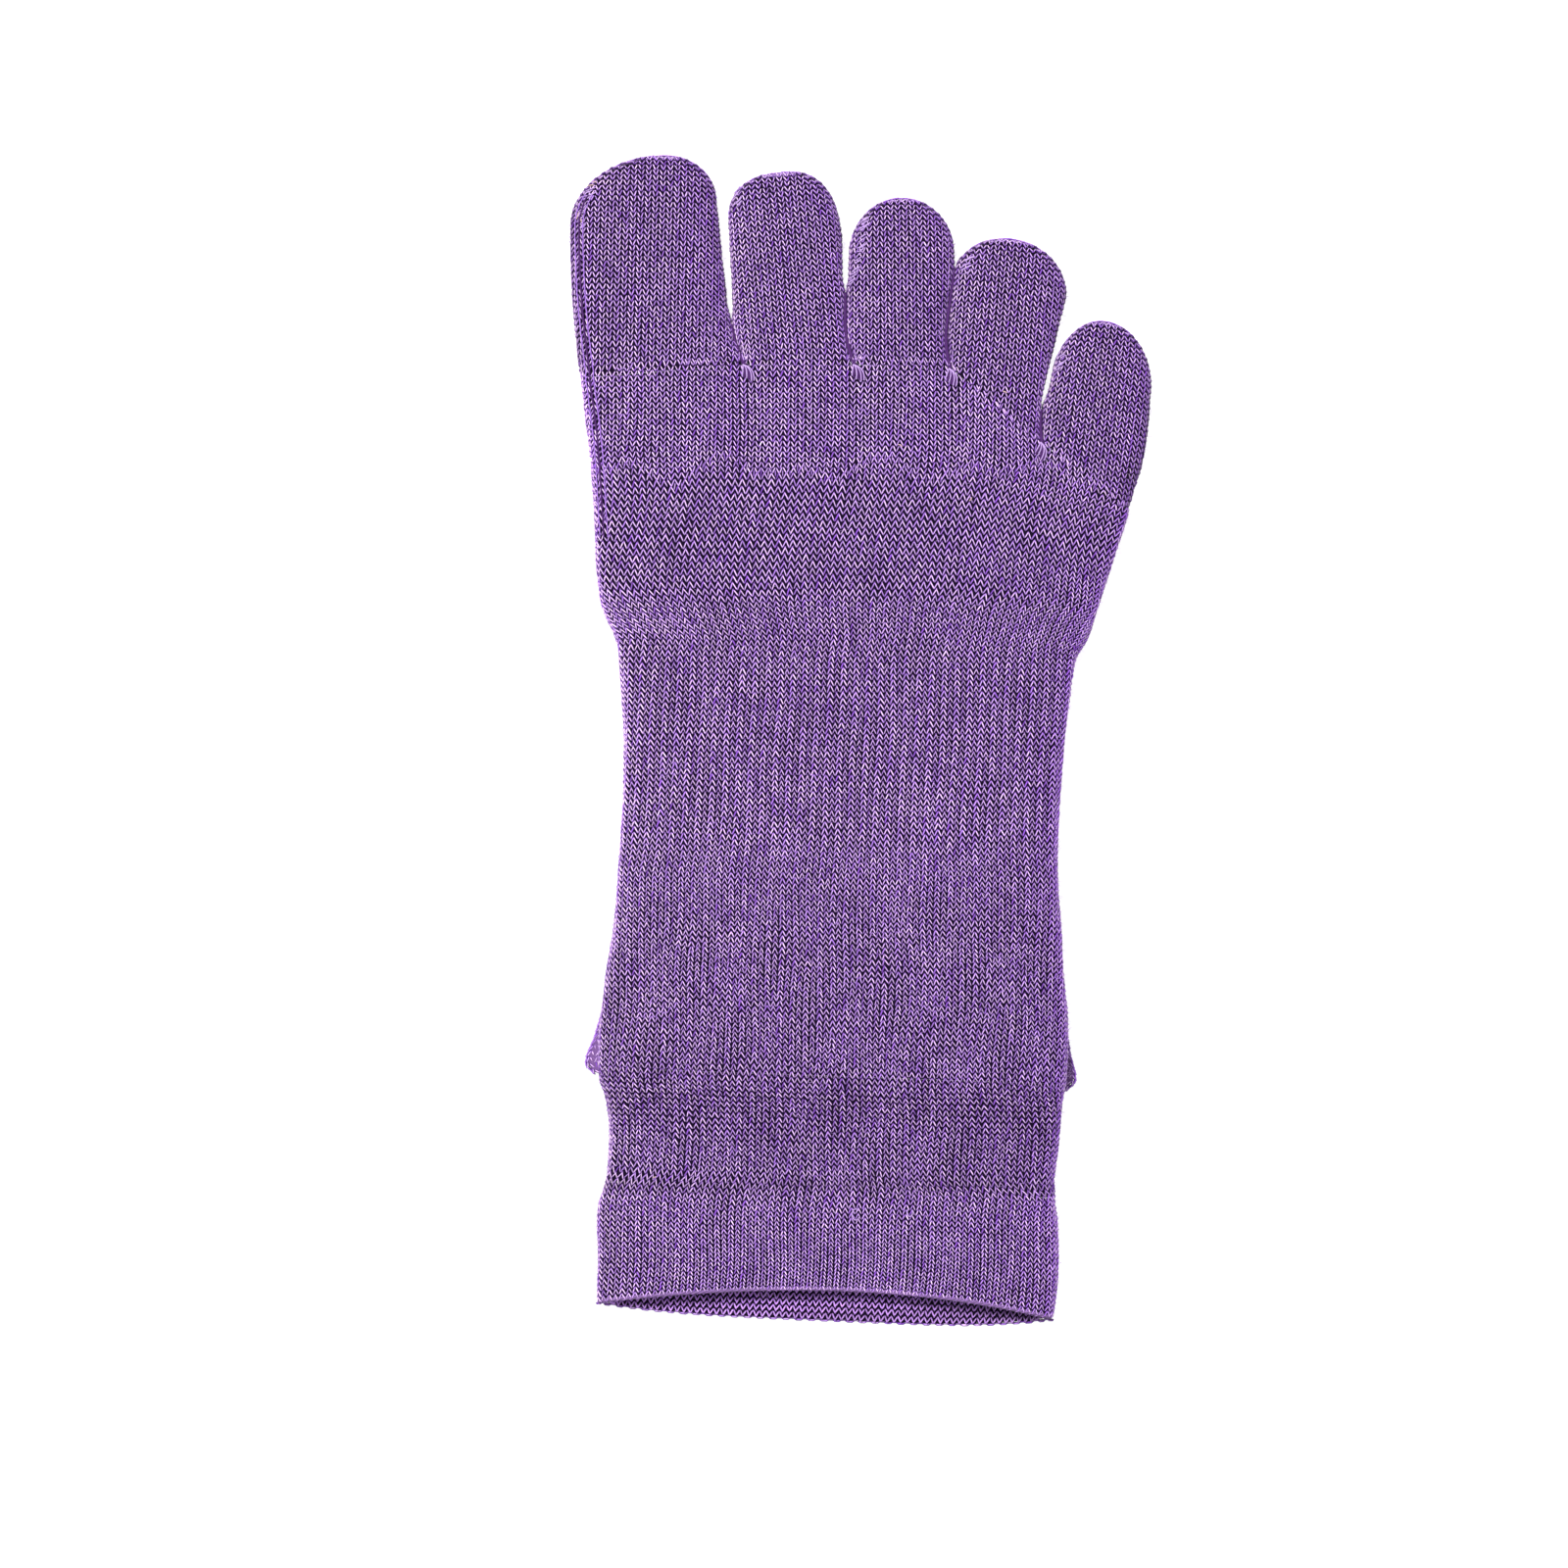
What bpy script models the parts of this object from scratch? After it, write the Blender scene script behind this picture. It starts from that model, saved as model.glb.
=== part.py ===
"""A knitted five-toe sock, empty and laid flat with its instep up.

Metres, +Z up. The toes point along +Y, the big toe lies at -X, and the sock rests on z = 0.
Each piece is a hollow tube with its own wall, open into the next one across a small gap.
"""

import math

import bmesh
import bpy
from mathutils import Vector

# Lengths, from the mouth to the tips of the toes
CUFF_LENGTH = 0.0216
LEG_LENGTH = 0.0204
FOOT_LENGTH = 0.1274
BIG_TOE_LENGTH = 0.0388
SECOND_TOE_LENGTH = 0.0348
THIRD_TOE_LENGTH = 0.0304
FOURTH_TOE_LENGTH = 0.0302
LITTLE_TOE_LENGTH = 0.0281

# Widths of the sock as it lies
FOREFOOT_WIDTH = 0.1044
ARCH_WIDTH = 0.0784
HEEL_WIDTH = 0.0882
LEG_WIDTH = 0.0805
CUFF_WIDTH = 0.0829

# Thickness of the cloth and height of the lying sock
WALL = 0.0012
CUFF_WALL = 0.0014
FOOT_HEIGHT = 0.0072
TOE_HEIGHT = 0.0070
LEG_HEIGHT = 0.0074
CUFF_HEIGHT = 0.0078
TIP_HEIGHT = 0.0034
GAP = 0.0003

# The heel cup, pressed flat under the rear of the foot
POCKET_DEPTH = 0.0400
POCKET_HEIGHT = 0.0030
SOLE_RISE_LENGTH = 0.0120

# The mouth: it leans, its front edge is drawn back and its rear edge bulges
LEAN_OF_LEG = 0.0030
FRONT_EDGE_RISE = 0.0039
REAR_EDGE_DROP = 0.0024

# Where two toes meet
CROTCH_DRIFT = 0.0018
CROTCH_DRIFT_LENGTH = 0.0080
CROTCH_DIP = 0.0010

# Shape of a lying tube: share of its height at which the side folds, and how square its top is
FOLD_SHARE = 0.45
CROWN = 3.2
TOE_BASE_CROWN = 6.0

# Colours of the yarn
YARN = (0.235, 0.130, 0.345, 1.0)
CUFF_YARN = (0.265, 0.152, 0.380, 1.0)
HEEL_YARN = (0.215, 0.118, 0.320, 1.0)

# Rows across the mouth side of the sock are measured from the heel line, along +Y
CUFF_LINE = -LEG_LENGTH
MOUTH_LINE = CUFF_LINE - CUFF_LENGTH

# The body's outline. Columns: zone start, zone length, share of the zone, width that the row follows,
# left fold and right fold as shares of that width, height of the top, as a length
HEEL_TOP = POCKET_HEIGHT + GAP + FOOT_HEIGHT
BODY = (
    (MOUTH_LINE, CUFF_LENGTH, -0.15, CUFF_WIDTH, -0.563, 0.415, CUFF_HEIGHT),
    (MOUTH_LINE, CUFF_LENGTH, 0.09, CUFF_WIDTH, -0.568, 0.424, CUFF_HEIGHT),
    (MOUTH_LINE, CUFF_LENGTH, 0.40, CUFF_WIDTH, -0.568, 0.430, CUFF_HEIGHT),
    (MOUTH_LINE, CUFF_LENGTH, 0.71, CUFF_WIDTH, -0.570, 0.430, CUFF_HEIGHT),
    (MOUTH_LINE, CUFF_LENGTH, 0.89, CUFF_WIDTH, -0.566, 0.424, CUFF_HEIGHT),
    (CUFF_LINE, LEG_LENGTH, 0.00, LEG_WIDTH, -0.572, 0.436, LEG_HEIGHT),
    (CUFF_LINE, LEG_LENGTH, 0.10, LEG_WIDTH, -0.565, 0.434, LEG_HEIGHT),
    (CUFF_LINE, LEG_LENGTH, 0.36, LEG_WIDTH, -0.561, 0.438, LEG_HEIGHT),
    (CUFF_LINE, LEG_LENGTH, 0.66, LEG_WIDTH, -0.561, 0.447, LEG_HEIGHT * 1.12),
    (CUFF_LINE, LEG_LENGTH, 0.84, LEG_WIDTH, -0.568, 0.454, LEG_HEIGHT * 1.30),
    (0.0, FOOT_LENGTH, 0.000, HEEL_WIDTH, -0.530, 0.420, HEEL_TOP),
    (0.0, FOOT_LENGTH, 0.072, HEEL_WIDTH, -0.528, 0.424, HEEL_TOP),
    (0.0, FOOT_LENGTH, 0.120, HEEL_WIDTH, -0.520, 0.418, HEEL_TOP),
    (0.0, FOOT_LENGTH, 0.189, ARCH_WIDTH, -0.569, 0.459, HEEL_TOP),
    (0.0, FOOT_LENGTH, 0.272, ARCH_WIDTH, -0.556, 0.453, HEEL_TOP * 0.97),
    (0.0, FOOT_LENGTH, 0.354, ARCH_WIDTH, -0.545, 0.455, FOOT_HEIGHT * 1.15),
    (0.0, FOOT_LENGTH, 0.451, ARCH_WIDTH, -0.542, 0.466, FOOT_HEIGHT),
    (0.0, FOOT_LENGTH, 0.531, ARCH_WIDTH, -0.545, 0.482, FOOT_HEIGHT),
    (0.0, FOOT_LENGTH, 0.586, ARCH_WIDTH, -0.551, 0.495, FOOT_HEIGHT),
    (0.0, FOOT_LENGTH, 0.617, ARCH_WIDTH, -0.560, 0.522, FOOT_HEIGHT),
    (0.0, FOOT_LENGTH, 0.651, FOREFOOT_WIDTH, -0.440, 0.407, FOOT_HEIGHT),
    (0.0, FOOT_LENGTH, 0.713, FOREFOOT_WIDTH, -0.451, 0.431, FOOT_HEIGHT),
    (0.0, FOOT_LENGTH, 0.796, FOREFOOT_WIDTH, -0.458, 0.463, FOOT_HEIGHT),
    (0.0, FOOT_LENGTH, 0.892, FOREFOOT_WIDTH, -0.466, 0.480, FOOT_HEIGHT),
    (0.0, FOOT_LENGTH, 0.982, FOREFOOT_WIDTH, -0.480, 0.490, FOOT_HEIGHT),
)

# The toe line, from the left fold to the right one. Columns: place between the folds, from -1 to 1,
# and how far it lies behind the foremost crotch, as a share of the foot's length
TOE_LINE = (
    (-1.000, 0.018),
    (-0.401, 0.000),
    (0.000, 0.000),
    (0.348, 0.006),
    (0.681, 0.110),
    (1.000, 0.204),
)

# The toes. Columns: name, length, place of the apex as a share of the forefoot's width,
# left and right half width as shares of it, left and right round end as shares of the toe's length
TOES = (
    ("big_toe", BIG_TOE_LENGTH, -0.330, 0.1650, 0.0870, 0.345, 0.222),
    ("second_toe", SECOND_TOE_LENGTH, -0.133, 0.1005, 0.0921, 0.268, 0.384),
    ("third_toe", THIRD_TOE_LENGTH, 0.071, 0.0909, 0.0909, 0.353, 0.330),
    ("fourth_toe", FOURTH_TOE_LENGTH, 0.256, 0.0855, 0.1064, 0.224, 0.330),
    ("little_toe", LITTLE_TOE_LENGTH, 0.421, 0.0800, 0.0945, 0.430, 0.451),
)

# The heel cup's outline. Columns: share of its depth, half width as a share of the heel's width
POCKET = (
    (0.00, 0.478),
    (0.06, 0.500),
    (0.14, 0.493),
    (0.26, 0.472),
    (0.45, 0.430),
    (0.68, 0.345),
    (0.86, 0.225),
    (0.96, 0.120),
)

# Columns round a tube: distances from a fold on top, where a half width is 1, then places on the
# underside, where 1 is the edge of the flat and 2 the fold
EDGE_COLUMNS = (0.0, 0.012, 0.055, 0.14, 0.26)
UNDER_COLUMNS = (1.6, 1.0, 0.5, 0.0, -0.5, -1.0, -1.6)
ROUND_TURN = math.radians(85.0)
TOE_STRAIGHT_RINGS = 6
TOE_ROUND_RINGS = 7
TOE_TOP_SEGMENTS = 10
FOOT_FAN_RINGS = 7
FOOT_REAR_RINGS = 15
LEG_RINGS = 8
CUFF_RINGS = 6


def smooth(t):
    """0 to 1 with a soft start and end."""
    t = min(max(t, 0.0), 1.0)
    return t * t * (3.0 - 2.0 * t)


def mix(a, b, t):
    return a + (b - a) * t


def through(rows, at):
    """Values of a smooth curve through rows of (place, value, ...) at a place."""
    last = len(rows) - 1
    k = next((i for i in range(last) if at <= rows[i + 1][0]), last - 1)
    t = min(max((at - rows[k][0]) / (rows[k + 1][0] - rows[k][0]), 0.0), 1.0)
    values = []
    for column in range(1, len(rows[0])):
        slopes = []
        for i in (k, k + 1):
            before, after = rows[max(i - 1, 0)], rows[min(i + 1, last)]
            slopes.append((after[column] - before[column]) / (after[0] - before[0]))
        span = rows[k + 1][0] - rows[k][0]
        a, b = rows[k][column], rows[k + 1][column]
        values.append(
            a * (2 * t**3 - 3 * t**2 + 1)
            + b * (3 * t**2 - 2 * t**3)
            + span * slopes[0] * (t**3 - 2 * t**2 + t)
            + span * slopes[1] * (t**3 - t**2)
        )
    return values


BODY_ROWS = [
    (start + length * share, left * width, right * width, top)
    for start, length, share, width, left, right, top in BODY
]


def body(y):
    """Left fold, right fold and height of the top of the body at y."""
    return through(BODY_ROWS, y)


def sole_height(y):
    """The sole lies on the floor, and rises over the heel cup at its rear."""
    front = POCKET_DEPTH + SOLE_RISE_LENGTH
    return (POCKET_HEIGHT + GAP) * smooth((front - y) / (SOLE_RISE_LENGTH - GAP))


def leaning(y, s):
    """Moves a line across the leg so that it leans, left end towards the toes."""
    share = 1.0 - smooth(y / (0.5 * FOOT_LENGTH))
    return y - 0.5 * LEAN_OF_LEG * share * s


def toe_line(s):
    """How far forward the foot reaches at s, from -1 at the left fold to 1 at the right."""
    k = next((i for i in range(len(TOE_LINE) - 1) if s <= TOE_LINE[i + 1][0]), len(TOE_LINE) - 2)
    (s0, back0), (s1, back1) = TOE_LINE[k], TOE_LINE[k + 1]
    return FOOT_LENGTH * (1.0 - mix(back0, back1, (s - s0) / (s1 - s0)))


def toe_line_point(s, shift=0.0):
    """The point of the toe line at s, in plan."""
    left_y, right_y = toe_line(-1.0), toe_line(1.0)
    x = mix(body(left_y)[0], body(right_y)[1], 0.5 * (s + 1.0))
    return Vector((x, toe_line(s) + shift))


def top_columns(crotches=()):
    """Places on top of a tube from the left fold to the right one, close together at the folds."""
    left = [-1.0 + edge for edge in EDGE_COLUMNS]
    right = [1.0 - edge for edge in reversed(EDGE_COLUMNS)]
    stops = [left[-1], *crotches, right[0]]
    steps = 3 if crotches else 6
    inner = []
    for a, b in zip(stops, stops[1:]):
        inner += [mix(a, b, i / steps) for i in range(1, steps + 1)]
    return left + inner[:-1] + right


class Section:
    """One lying tube's cross-section: two folds in plan, the height it starts at and its height."""

    def __init__(self, left, right, base, height, crown=CROWN):
        self.left = left
        self.right = right
        self.base = base
        self.height = height
        self.crown = crown

    def inset(self, wall):
        """The section of the inside face, one wall further in."""
        across = (self.right - self.left).normalized() * wall
        return Section(
            self.left + across,
            self.right - across,
            self.base + wall,
            self.height - 2.0 * wall,
            self.crown,
        )

    def fold(self):
        return self.base + FOLD_SHARE * self.height

    def point(self, s, z):
        plan = self.left.lerp(self.right, 0.5 * (s + 1.0))
        return Vector((plan.x, plan.y, z))

    def top(self, s, dip=0.0):
        rise = (1.0 - min(abs(s), 1.0) ** self.crown) ** (1.0 / self.crown)
        return self.point(s, mix(self.fold(), self.base + self.height, rise) - dip * rise)

    def flat_edge(self):
        half = 0.5 * (self.right - self.left).length
        return 1.0 - min(FOLD_SHARE * self.height / half, 0.6)

    def under(self, q):
        """Underside at q: flat up to 1, then round up to the fold at 2."""
        flat = self.flat_edge()
        side = math.copysign(1.0, q)
        if abs(q) <= 1.0:
            return self.point(q * flat, self.base)
        t = abs(q) - 1.0
        lift = 1.0 - math.sqrt(max(1.0 - t * t, 0.0))
        return self.point(side * mix(flat, 1.0, t), self.base + FOLD_SHARE * self.height * lift)

    def ring(self, tops, unders=UNDER_COLUMNS, dip=None):
        upper = [self.top(s, dip(s) if dip else 0.0) for s in tops]
        return upper + [self.under(q) for q in unders]


def join_rings(name, outer, inner, outer_pole=None, inner_pole=None, colour=YARN):
    """A hollow tube from its outer and inner rings, closed at the far end where it has poles."""
    bm = bmesh.new()
    skins = [[[bm.verts.new(p) for p in ring] for ring in rings] for rings in (outer, inner)]
    count = len(outer[0])
    for rings in skins:
        for a, b in zip(rings, rings[1:]):
            for i in range(count):
                j = (i + 1) % count
                bm.faces.new((a[i], a[j], b[j], b[i]))
    ends = [0] if outer_pole else [0, -1]
    for end in ends:
        a, b = skins[0][end], skins[1][end]
        for i in range(count):
            j = (i + 1) % count
            bm.faces.new((a[i], b[i], b[j], a[j]))
    if outer_pole:
        for rings, place in zip(skins, (outer_pole, inner_pole)):
            pole = bm.verts.new(place)
            for i in range(count):
                bm.faces.new((rings[-1][i], rings[-1][(i + 1) % count], pole))
    bmesh.ops.recalc_face_normals(bm, faces=bm.faces)
    mesh = bpy.data.meshes.new(name)
    bm.to_mesh(mesh)
    bm.free()
    mesh.shade_smooth()
    mesh.set_sharp_from_angle(angle=math.radians(50.0))
    mesh.materials.append(yarn_material(name, colour))
    piece = bpy.data.objects.new(name, mesh)
    bpy.context.scene.collection.objects.link(piece)
    return piece


def yarn_material(name, colour):
    """Soft knitted yarn: rough, with a light fuzz."""
    material = bpy.data.materials.new(name + "_yarn")
    material.use_nodes = True
    shader = material.node_tree.nodes["Principled BSDF"]
    shader.inputs["Base Color"].default_value = colour
    shader.inputs["Roughness"].default_value = 0.9
    shader.inputs["Metallic"].default_value = 0.0
    shader.inputs["Sheen Weight"].default_value = 0.4
    material.diffuse_color = colour
    return material


def toe(name, length, apex_share, left_share, right_share, left_round, right_round, s0, s1):
    """A toe pocket: straight sides from the toe line, then a round end."""
    base_left = toe_line_point(s0, 0.5 * GAP)
    base_right = toe_line_point(s1, 0.5 * GAP)
    across = (base_right - base_left).normalized()
    base_left += across * 0.5 * GAP
    base_right -= across * 0.5 * GAP
    middle = base_left.lerp(base_right, 0.5)
    apex_x = apex_share * FOREFOOT_WIDTH
    apex = Vector((apex_x, middle.y + math.sqrt(max(length**2 - (apex_x - middle.x) ** 2, 0.0))))
    ahead = (apex - middle).normalized()
    aside = Vector((ahead.y, -ahead.x))

    def rings(wall):
        made = []
        start_left = base_left + across * wall
        start_right = base_right - across * wall
        drift = Vector((CROTCH_DRIFT, 0.0))
        sides = (
            (start_left, -1.0, left_share, left_round, drift if s0 > -1.0 else Vector((0.0, 0.0))),
            (start_right, 1.0, right_share, right_round, drift if s1 < 1.0 else Vector((0.0, 0.0))),
        )
        ends = []
        for start, side, share, roundness, swing in sides:
            half = share * FOREFOOT_WIDTH - wall
            reach = roundness * length - wall
            centre = apex - ahead * (roundness * length)
            ends.append((start, side, half, reach, centre, swing))
        for k in range(TOE_STRAIGHT_RINGS):
            t = k / TOE_STRAIGHT_RINGS
            plan = []
            for start, side, half, reach, centre, swing in ends:
                shoulder = centre + aside * side * half
                away = t * (shoulder - start).length / CROTCH_DRIFT_LENGTH
                plan.append((start - swing).lerp(shoulder, t) + swing * max(1.0 - away, 0.0) ** 2)
            height = mix(FOOT_HEIGHT, TOE_HEIGHT, smooth(2.5 * t))
            crown = mix(TOE_BASE_CROWN, CROWN, smooth(2.5 * t))
            made.append(Section(plan[0], plan[1], wall, height - 2.0 * wall, crown))
        for k in range(TOE_ROUND_RINGS):
            turn = ROUND_TURN * k / (TOE_ROUND_RINGS - 1)
            plan = []
            for start, side, half, reach, centre, swing in ends:
                out = aside * side * half * math.cos(turn)
                plan.append(centre + out + ahead * reach * math.sin(turn))
            height = mix(TIP_HEIGHT, TOE_HEIGHT, math.cos(turn) ** 0.6)
            made.append(Section(plan[0], plan[1], wall, height - 2.0 * wall))
        tops = top_columns_for_toe()
        pole_plan = apex - ahead * wall
        pole = Vector((pole_plan.x, pole_plan.y, wall + FOLD_SHARE * (TIP_HEIGHT - 2.0 * wall)))
        return [section.ring(tops) for section in made], pole

    outer, outer_pole = rings(0.0)
    inner, inner_pole = rings(WALL)
    return join_rings(name, outer, inner, outer_pole, inner_pole)


def top_columns_for_toe():
    count = TOE_TOP_SEGMENTS
    return [-math.cos(math.pi * i / count) for i in range(count + 1)]


CROTCHES = [s for s, back in TOE_LINE[1:-1]]


def crotch_dip(s):
    """The top sinks a little towards each crotch."""
    nearest = min(abs(s - c) for c in CROTCHES)
    return CROTCH_DIP * max(1.0 - nearest / 0.12, 0.0)


def foot():
    """The foot's tube: fanned rings behind the toe line, then straight ones to the heel line."""
    tops = top_columns(CROTCHES)
    fan_end = BODY_ROWS[-6][0]

    def skin(wall):
        rings = []
        for k in range(FOOT_FAN_RINGS):
            t = k / FOOT_FAN_RINGS
            left_y = mix(toe_line(-1.0), fan_end, t)
            right_y = mix(toe_line(1.0), fan_end, t)
            left = Vector((body(left_y)[0], left_y))
            right = Vector((body(right_y)[1], right_y))
            section = Section(left, right, 0.0, FOOT_HEIGHT).inset(wall)
            fade = (1.0 - t) ** 2
            ring = section.ring(tops, foot_unders(section), lambda s: fade * crotch_dip(s))
            for p in ring:
                s = 2.0 * (p.x - section.left.x) / (section.right.x - section.left.x) - 1.0
                s = min(max(s, -1.0), 1.0)
                p.y = mix(toe_line(s) - 0.5 * GAP, fan_end, t)
            rings.append(ring)
        for k in range(FOOT_REAR_RINGS + 1):
            y = mix(fan_end, 0.5 * GAP, k / FOOT_REAR_RINGS)
            section = body_section(y, sole_height(y)).inset(wall)
            rings.append(section.ring(tops, foot_unders(section)))
        return rings

    return join_rings("foot", skin(0.0), skin(WALL))


def foot_unders(section):
    """Underside columns of the foot, right to left, with one below each crotch."""
    flat = section.flat_edge()
    return [1.6, 1.0] + [c / flat for c in reversed(CROTCHES)] + [-0.75, -1.0, -1.6]


def body_section(y, base):
    left_y, right_y = leaning(y, -1.0), leaning(y, 1.0)
    left, _, left_top = body(left_y)
    _, right, right_top = body(right_y)
    top = 0.5 * (left_top + right_top)
    return Section(Vector((left, left_y)), Vector((right, right_y)), base, top - base)


def pocket_section(share, half_share, shift):
    rear = body_section(shift, 0.0)
    middle = rear.left.lerp(rear.right, 0.5)
    across = (rear.right - rear.left).normalized()
    ahead = Vector((-across.y, across.x))
    place = middle + ahead * share * POCKET_DEPTH
    half = across * half_share * HEEL_WIDTH
    return Section(place - half, place + half, 0.0, POCKET_HEIGHT)


def heel_pocket():
    """The heel cup, pressed flat: its mouth is at the heel line, its round end under the arch."""
    tops = top_columns()
    sections = [pocket_section(share, half, 0.5 * GAP) for share, half in POCKET]
    end = pocket_section(1.0, 0.0, 0.5 * GAP)
    fold = FOLD_SHARE * POCKET_HEIGHT
    ahead = (end.left - sections[0].left.lerp(sections[0].right, 0.5)).normalized()
    outer_pole = Vector((end.left.x, end.left.y, fold))
    inner_plan = end.left - ahead * WALL
    inner_pole = Vector((inner_plan.x, inner_plan.y, fold))
    outer = [section.ring(tops) for section in sections]
    inner = []
    for section in sections:
        inset = section.inset(WALL)
        share = max(0.0, (section.left - sections[0].left).dot(ahead) / POCKET_DEPTH)
        for end_point in (inset.left, inset.right):
            end_point -= ahead * WALL * share
        inner.append(inset.ring(tops))
    return join_rings("heel_pocket", outer, inner, outer_pole, inner_pole, HEEL_YARN)


def leg():
    """The leg's tube. Its front end takes the mouths of both the foot and the heel cup."""
    tops = top_columns()

    def skin(wall):
        rings = []
        for k in range(LEG_RINGS + 1):
            t = k / LEG_RINGS
            y = mix(-0.5 * GAP, CUFF_LINE + 0.5 * GAP, t)
            plain = body_section(y, 0.0).inset(wall).ring(tops)
            upper = body_section(y, sole_height(y)).inset(wall).ring(tops)
            cup = pocket_section(0.0, POCKET[0][1], -0.5 * GAP).inset(wall)
            lower = cup.ring(tops)
            share = 1.0 - smooth(t / 0.6)
            ring = []
            for i, p in enumerate(plain):
                q = upper[i] if i < len(tops) else lower[i] + Vector((0.0, p.y - lower[i].y, 0.0))
                ring.append(p.lerp(q, share))
            rings.append(ring)
        return rings

    return join_rings("leg", skin(0.0), skin(WALL))


def cuff():
    """The band at the mouth, whose front edge is drawn back and whose rear edge bulges."""
    tops = top_columns()

    def skin(wall):
        rings = []
        for k in range(CUFF_RINGS + 1):
            t = k / CUFF_RINGS
            y = mix(CUFF_LINE - 0.5 * GAP, MOUTH_LINE, t)
            section = body_section(y, 0.0).inset(mix(WALL, CUFF_WALL, smooth(4.0 * t)) if wall else 0.0)
            ring = section.ring(tops)
            for i, p in enumerate(ring):
                s = 2.0 * (p.x - section.left.x) / (section.right.x - section.left.x) - 1.0
                bow = 1.0 - min(abs(s), 1.0) ** 2
                above = i < len(tops)
                p.y += t * t * bow * (FRONT_EDGE_RISE if above else -REAR_EDGE_DROP)
            rings.append(ring)
        return rings

    return join_rings("cuff", skin(0.0), skin(CUFF_WALL), colour=CUFF_YARN)


def place_on_floor(pieces):
    """Hangs the pieces on one empty that puts the middle of their footprint at the origin."""
    corners = [v.co for piece in pieces for v in piece.data.vertices]
    low = [min(c[axis] for c in corners) for axis in range(3)]
    high = [max(c[axis] for c in corners) for axis in range(3)]
    sock = bpy.data.objects.new("sock", None)
    sock.location = (-0.5 * (low[0] + high[0]), -0.5 * (low[1] + high[1]), -low[2])
    bpy.context.scene.collection.objects.link(sock)
    for piece in pieces:
        piece.parent = sock


def main():
    for old in list(bpy.data.objects):
        bpy.data.objects.remove(old, do_unlink=True)
    pieces = []
    places = [s for s, back in TOE_LINE]
    for row, s0, s1 in zip(TOES, places, places[1:]):
        pieces.append(toe(*row, s0, s1))
    pieces += [foot(), heel_pocket(), leg(), cuff()]
    place_on_floor(pieces)


main()
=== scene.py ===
import math

import bmesh
import bpy
import numpy as np
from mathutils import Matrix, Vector


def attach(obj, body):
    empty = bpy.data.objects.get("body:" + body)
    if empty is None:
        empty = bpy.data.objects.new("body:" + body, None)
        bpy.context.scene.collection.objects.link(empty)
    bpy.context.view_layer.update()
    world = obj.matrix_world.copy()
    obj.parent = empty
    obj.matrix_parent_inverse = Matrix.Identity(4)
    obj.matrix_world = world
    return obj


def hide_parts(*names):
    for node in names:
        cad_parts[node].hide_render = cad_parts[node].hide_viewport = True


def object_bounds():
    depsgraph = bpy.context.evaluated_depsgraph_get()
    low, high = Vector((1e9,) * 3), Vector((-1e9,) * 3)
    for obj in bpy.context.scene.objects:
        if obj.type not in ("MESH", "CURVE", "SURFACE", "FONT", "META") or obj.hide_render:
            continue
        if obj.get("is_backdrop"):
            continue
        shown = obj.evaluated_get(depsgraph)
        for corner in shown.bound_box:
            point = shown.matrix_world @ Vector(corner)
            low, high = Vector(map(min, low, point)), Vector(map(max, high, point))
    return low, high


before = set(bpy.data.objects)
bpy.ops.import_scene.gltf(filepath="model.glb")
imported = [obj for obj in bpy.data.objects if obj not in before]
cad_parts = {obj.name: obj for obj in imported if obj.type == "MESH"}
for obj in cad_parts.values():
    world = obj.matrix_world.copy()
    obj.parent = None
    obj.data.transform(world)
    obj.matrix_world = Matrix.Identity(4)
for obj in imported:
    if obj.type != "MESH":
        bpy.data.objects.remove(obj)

bl_info = {
    "name": "Knitted toe sock",
    "version": (1, 0, 0),
    "blender": (4, 5, 0),
    "location": "3D View > Sidebar > Toe sock",
    "description": "A five-toe sock knitted strand by strand round its packed solids",
    "category": "Object",
}

BODY = "root"

# The sock's own frame has y = 0 at the heel line. It lies here in the row frame
HEEL_LINE_AT = np.array((-0.000137, -0.060304, 0.0))

# Lengths and widths of the solids that the knit covers, in metres
CUFF_LENGTH = 0.0216
LEG_LENGTH = 0.0204
FOOT_LENGTH = 0.1274
FOREFOOT_WIDTH = 0.1044
ARCH_WIDTH = 0.0784
HEEL_WIDTH = 0.0882
LEG_WIDTH = 0.0805
CUFF_WIDTH = 0.0829
WALL = 0.0012
CUFF_WALL = 0.0014
FOOT_HEIGHT = 0.0072
TOE_HEIGHT = 0.0070
LEG_HEIGHT = 0.0074
CUFF_HEIGHT = 0.0078
TIP_HEIGHT = 0.0034
GAP = 0.0003
POCKET_DEPTH = 0.0400
POCKET_HEIGHT = 0.0030
SOLE_RISE_LENGTH = 0.0120
LEAN_OF_LEG = 0.0030
FRONT_EDGE_RISE = 0.0039
REAR_EDGE_DROP = 0.0017
CROTCH_DRIFT = 0.0018
CROTCH_DRIFT_LENGTH = 0.0080
CROTCH_DIP = 0.0010
CROTCH_DIP_SHARE = 0.12
FOLD_SHARE = 0.45
CROWN = 3.2
TOE_BASE_CROWN = 6.0
FREE_BASE_CROWN = 1.9
HEEL_TOP = POCKET_HEIGHT + GAP + FOOT_HEIGHT
CUFF_LINE = -LEG_LENGTH
MOUTH_LINE = CUFF_LINE - CUFF_LENGTH

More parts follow.
